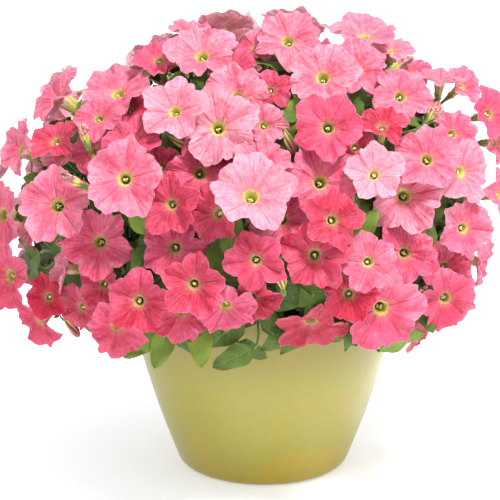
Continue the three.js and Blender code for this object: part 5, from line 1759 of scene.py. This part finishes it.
@dataclass(frozen=True)
class Pot:
    """The turned, glazed pot with its drain holes."""

    size: PotSize = POT
    columns: int = 180
    centre: float = 2.0
    under_ring: float = 40.0
    drill_below: float = 20.0
    corner_steps: int = 9
    wall_steps: int = 24
    rim_steps: int = 6
    inner_steps: int = 10
    drill_columns: int = 40

    def profile(self) -> Array:
        """Returns the outline from the middle of the underside, up the wall, over the rim and down inside.

        The foot's corner and the rim are arcs, and the wall follows the pot's radius.
        """
        size = self.size
        arc = np.linspace(-math.pi / 2, -math.atan(size.slope_low), self.corner_steps)
        corner = [size.base_radius + size.corner_radius * np.cos(arc), size.corner_radius * (1 + np.sin(arc))]
        bead = size.rim_rounding
        rise = np.linspace(corner[1][-1], size.height - bead, self.wall_steps)[1:]
        top = size.radius(size.height)
        sweep = np.linspace(0.1, math.pi / 2, self.rim_steps)
        outer = [top - bead + bead * np.cos(sweep), size.height - bead + bead * np.sin(sweep)]
        inner = [top - size.wall + bead - bead * np.sin(sweep), size.height - bead + bead * np.cos(sweep)]
        fall = np.linspace(size.height - bead, size.inner_bend, self.inner_steps)[1:]
        low = size.radius(size.floor) - size.wall - 2
        parts = [
            [(self.centre, self.under_ring), (0.0, 0.0)],
            corner,
            [size.radius(rise), rise],
            outer,
            inner,
            [size.radius(fall) - size.wall, fall],
            [
                (low + 4, low, low - 3, self.centre),
                (size.floor + 14, size.floor + 3, size.floor, size.floor),
            ],
        ]
        return np.concatenate([np.stack(part, axis=1) for part in parts])

    def make(self, finish: Finish) -> None:
        """Makes the pot and cuts its drain holes."""
        profile = self.profile()
        skin = Skin()
        skin.tube(ring_at(profile[:, :1], circle(self.columns), profile[:, 1:]))
        pot = skin.piece("pot_glazed", [finish], "pot_glaze")
        for turn in circle(self.size.drains):
            self.cut(pot, finish, self.size.drain_circle * np.array([math.cos(turn), math.sin(turn), 0]))
        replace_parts(pot, "pot")

    def cut(self, pot: bpy.types.Object, finish: Finish, spot: Array) -> None:
        """Cuts one drain hole through the floor at a spot."""
        drill = Skin()
        path = np.array([spot + UP * z for z in (-self.drill_below, 4 * self.size.floor)])
        sideways = np.array([1.0, 0.0, 0.0])
        drill.tube(round_rings(path, np.full(2, self.size.drain_radius), self.drill_columns, sideways))
        cutter = drill.piece("drill", [finish], "pot_glaze")
        change = pot.modifiers.new("drain", "BOOLEAN")
        change.operation = "DIFFERENCE"
        change.object = cutter
        change.solver = "EXACT"
        graph = bpy.context.evaluated_depsgraph_get()
        mesh = bpy.data.meshes.new_from_object(pot.evaluated_get(graph))
        pot.modifiers.remove(change)
        pot.data = mesh
        bpy.data.objects.remove(cutter)


@dataclass(frozen=True)
class Soil:
    """The soil's bed with crumbs on it."""

    size: PotSize = POT
    rings: int = 34
    columns: int = 90
    centre: float = 1.5
    sunk: float = 1.2
    unevenness: float = 0.55
    crumbs: int = 600
    crumb_room: float = 5.0
    crumb_sunk: float = 0.6
    crumb_size: Span = (0.9, 2.4)
    crumb_shape: tuple[float, ...] = (0.5, 1.0, 0.9, 0.4)
    pale_every: int = 16

    def top(self, radius: Array | float) -> Array | float:
        """Returns the height of the soil at a distance from the axis: a low crown."""
        edge = self.size.radius(self.size.soil_rim) - self.size.wall
        return self.size.soil_rim + self.size.soil_crown * (1 - (radius / edge) ** 2)

    def make(self, finish: Finish) -> None:
        """Makes the bed, an uneven top on a plain body that fills the pot, and loose crumbs on it."""
        size = self.size
        skin = Skin()
        angle = circle(self.columns)
        edge = size.radius(size.soil_rim) - size.wall - size.soil_gap
        radii = np.linspace(edge, self.centre, self.rings)
        r = radii[:, None]
        uneven = np.sin(r * 0.41 + 3 * angle) + np.sin(r * 0.9 - 5 * angle + 1) + np.sin(7 * angle + r * 1.7)
        heights = self.top(r) - self.sunk + self.unevenness * uneven * smooth(0, 8, edge - r)
        bottom = size.floor + size.soil_gap
        low = [(bottom, self.centre), (bottom, size.radius(size.floor) - size.wall - 4)]
        side = (size.inner_bend, size.radius(size.inner_bend) - size.wall - size.soil_gap)
        rows = [ring_at(reach, angle, z) for z, reach in [*low, side]]
        rows += [ring_at(reach, angle, z) for reach, z in zip(radii, heights)]
        skin.tube(np.stack(rows))
        draws = Draws(SEED_CRUMBS)
        t = np.linspace(-1, 1, len(self.crumb_shape))
        for number in range(self.crumbs):
            reach = (edge - self.crumb_room) * math.sqrt(draws.next())
            turn = draws.between(0, TURN)
            height = self.top(reach) - self.crumb_sunk
            spot = np.array([reach * math.cos(turn), reach * math.sin(turn), height])
            big = draws.between(*self.crumb_size)
            lean = unit(np.array([draws.between(-1, 1), draws.between(-1, 1), 1.0]))
            path = spot + lean * (big * 0.8 * t)[:, None]
            wide = big * np.array(self.crumb_shape) * draws.between(0.8, 1.2)
            is_pale = number % self.pale_every == 0
            skin.tube(round_rings(path, wide, 5, any_side(lean)), tone=(is_pale, 0, 0))
        bed = skin.piece("soil_bed", [finish], "potting_soil")
        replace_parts(bed, "soil")


class Plant:
    """The whole plant: sprays, leafy stems and the foliage inside.

    Stalks are given by their radii at the stem and at the foot, sepals by their length in millimetres, and
    those of a bud by a share of its length.
    """

    flower_stalk = (1.3, 1.5)
    flower_sepals = 11.0
    growth_stalk = (0.9, 1.1)
    bud_sepals = 0.32

    def __init__(self) -> None:
        """Lays the plant out and makes its finishes."""
        self.layout = Layout()
        log.info("%d flowers, %d leaves and buds", len(self.layout.flowers), len(self.layout.growths))
        self.blooming = [PetalFinish(), AntherFinish()]
        self.growing = [StemFinish(), LeafFinish(), BudFinish()]

    def make_spray(self, number: int, stem: Stem) -> None:
        """Makes a spray in two pieces: its flowers, and its stem with stalks and sepals."""
        blooms, greens = Skin(), Skin()
        flowers, stems, sepals = BloomMaker(), StemMaker(), SepalMaker()
        stems.stem(greens, stem)
        for flower in stem.items:
            flowers.flower(blooms, flower)
            stems.stalk(greens, flower.root, flower.foot, flower.facing, self.flower_stalk)
            length, seed = self.flower_sepals, SEED_CALYX + flower.number
            sepals.calyx(greens, flower.foot, flower.facing, flower.side, length, seed)
        node = f"bloom_spray_{number:02d}"
        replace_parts(blooms.piece(f"{node}_flowers", self.blooming, "petal_pink"), node)
        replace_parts(greens.piece(f"{node}_stalks", self.growing[:1], "leaf_green"), node)

    def make_leafy_stem(self, number: int, stem: Stem) -> None:
        """Makes a leafy stem with its leaves and buds in one piece."""
        skin = Skin()
        stems, leaves, buds, sepals = StemMaker(), LeafMaker(), BudMaker(), SepalMaker()
        stems.stem(skin, stem)
        for item in stem.items:
            stems.stalk(skin, item.root, item.base, item.along, self.growth_stalk)
            if item.kind is Kind.LEAF:
                leaves.leaf(skin, item)
            else:
                buds.bud(skin, item)
                length, seed = self.bud_sepals * item.length, SEED_BUD_CALYX + number
                sepals.calyx(skin, item.base, item.along, item.across, length, seed)
        node = f"leafy_stem_{number:02d}"
        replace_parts(skin.piece(f"{node}_leaves", self.growing, "leaf_green"), node)

    def make(self) -> None:
        """Makes all of the plant's pieces."""
        for number, stem in enumerate(self.layout.sprays, 1):
            self.make_spray(number, stem)
        for number, stem in enumerate(self.layout.leafy_stems, 1):
            self.make_leafy_stem(number, stem)
        InnerLeaves(self.layout).make(self.growing)


@dataclass(frozen=True)
class Studio:
    """The floor, the lights and the camera, in metres."""

    sensor: float = 36.0
    image: float = 500.0
    half_floor: float = 9.0
    farthest: float = 50.0
    key_spot: tuple[float, float, float] = (0.6, -0.85, 2.1)
    key_aim: tuple[float, float, float] = (0.0, 0.0, 0.2)
    key_size: float = 0.45
    key_power: float = 72.0

    @staticmethod
    def stand(thing: bpy.types.Object, spot: Vector, aim: Vector) -> None:
        """Puts a light or the camera at a spot, aimed at a point."""
        thing.location = spot
        thing.rotation_euler = (aim - spot).to_track_quat("-Z", "Y").to_euler()
        bpy.context.scene.collection.objects.link(thing)

    def floor(self) -> None:
        """Makes the white floor."""
        half = self.half_floor
        corners = [(-half, -half, 0), (half, -half, 0), (half, half, 0), (-half, half, 0)]
        mesh = bpy.data.meshes.new("studio_floor")
        mesh.from_pydata(corners, [], [(0, 1, 2, 3)])
        mesh.materials.append(FloorFinish().material)
        floor = bpy.data.objects.new("studio_floor", mesh)
        bpy.context.scene.collection.objects.link(floor)

    def lights(self) -> None:
        """Adds a bright white surround and one soft light from above, in front and to the right."""
        world = bpy.data.worlds.new("studio")
        world.use_nodes = True
        backdrop = world.node_tree.nodes["Background"]
        backdrop.inputs["Color"].default_value = (1, 1, 1, 1)
        backdrop.inputs["Strength"].default_value = 1.0
        bpy.context.scene.world = world
        light = bpy.data.lights.new("key", "AREA")
        light.shape = "SQUARE"
        light.size = self.key_size
        light.energy = self.key_power
        self.stand(bpy.data.objects.new("key", light), Vector(self.key_spot), Vector(self.key_aim))
        bpy.context.scene.view_settings.view_transform = "Standard"

    def camera(self) -> None:
        """Adds the camera on the line of sight that the front flowers were read along."""
        data = bpy.data.cameras.new("camera")
        data.sensor_width = self.sensor
        data.lens = self.sensor * SIGHT.distance / (self.image * SIGHT.scale)
        data.clip_end = self.farthest
        camera = bpy.data.objects.new("camera", data)
        aim = Vector(SIGHT.aim) * MM
        self.stand(camera, aim + Vector(SIGHT.back) * SIGHT.distance * MM, aim)
        bpy.context.scene.camera = camera

    def make(self) -> None:
        """Sets the studio up."""
        self.floor()
        self.lights()
        self.camera()


def main() -> None:
    """Makes the pot, the soil, the plant and the studio."""
    logging.basicConfig(level=logging.INFO, format="%(name)s: %(message)s")
    Studio().make()
    Pot().make(GlazeFinish())
    Soil().make(SoilFinish())
    Plant().make()


if __name__ == "__main__":
    main()
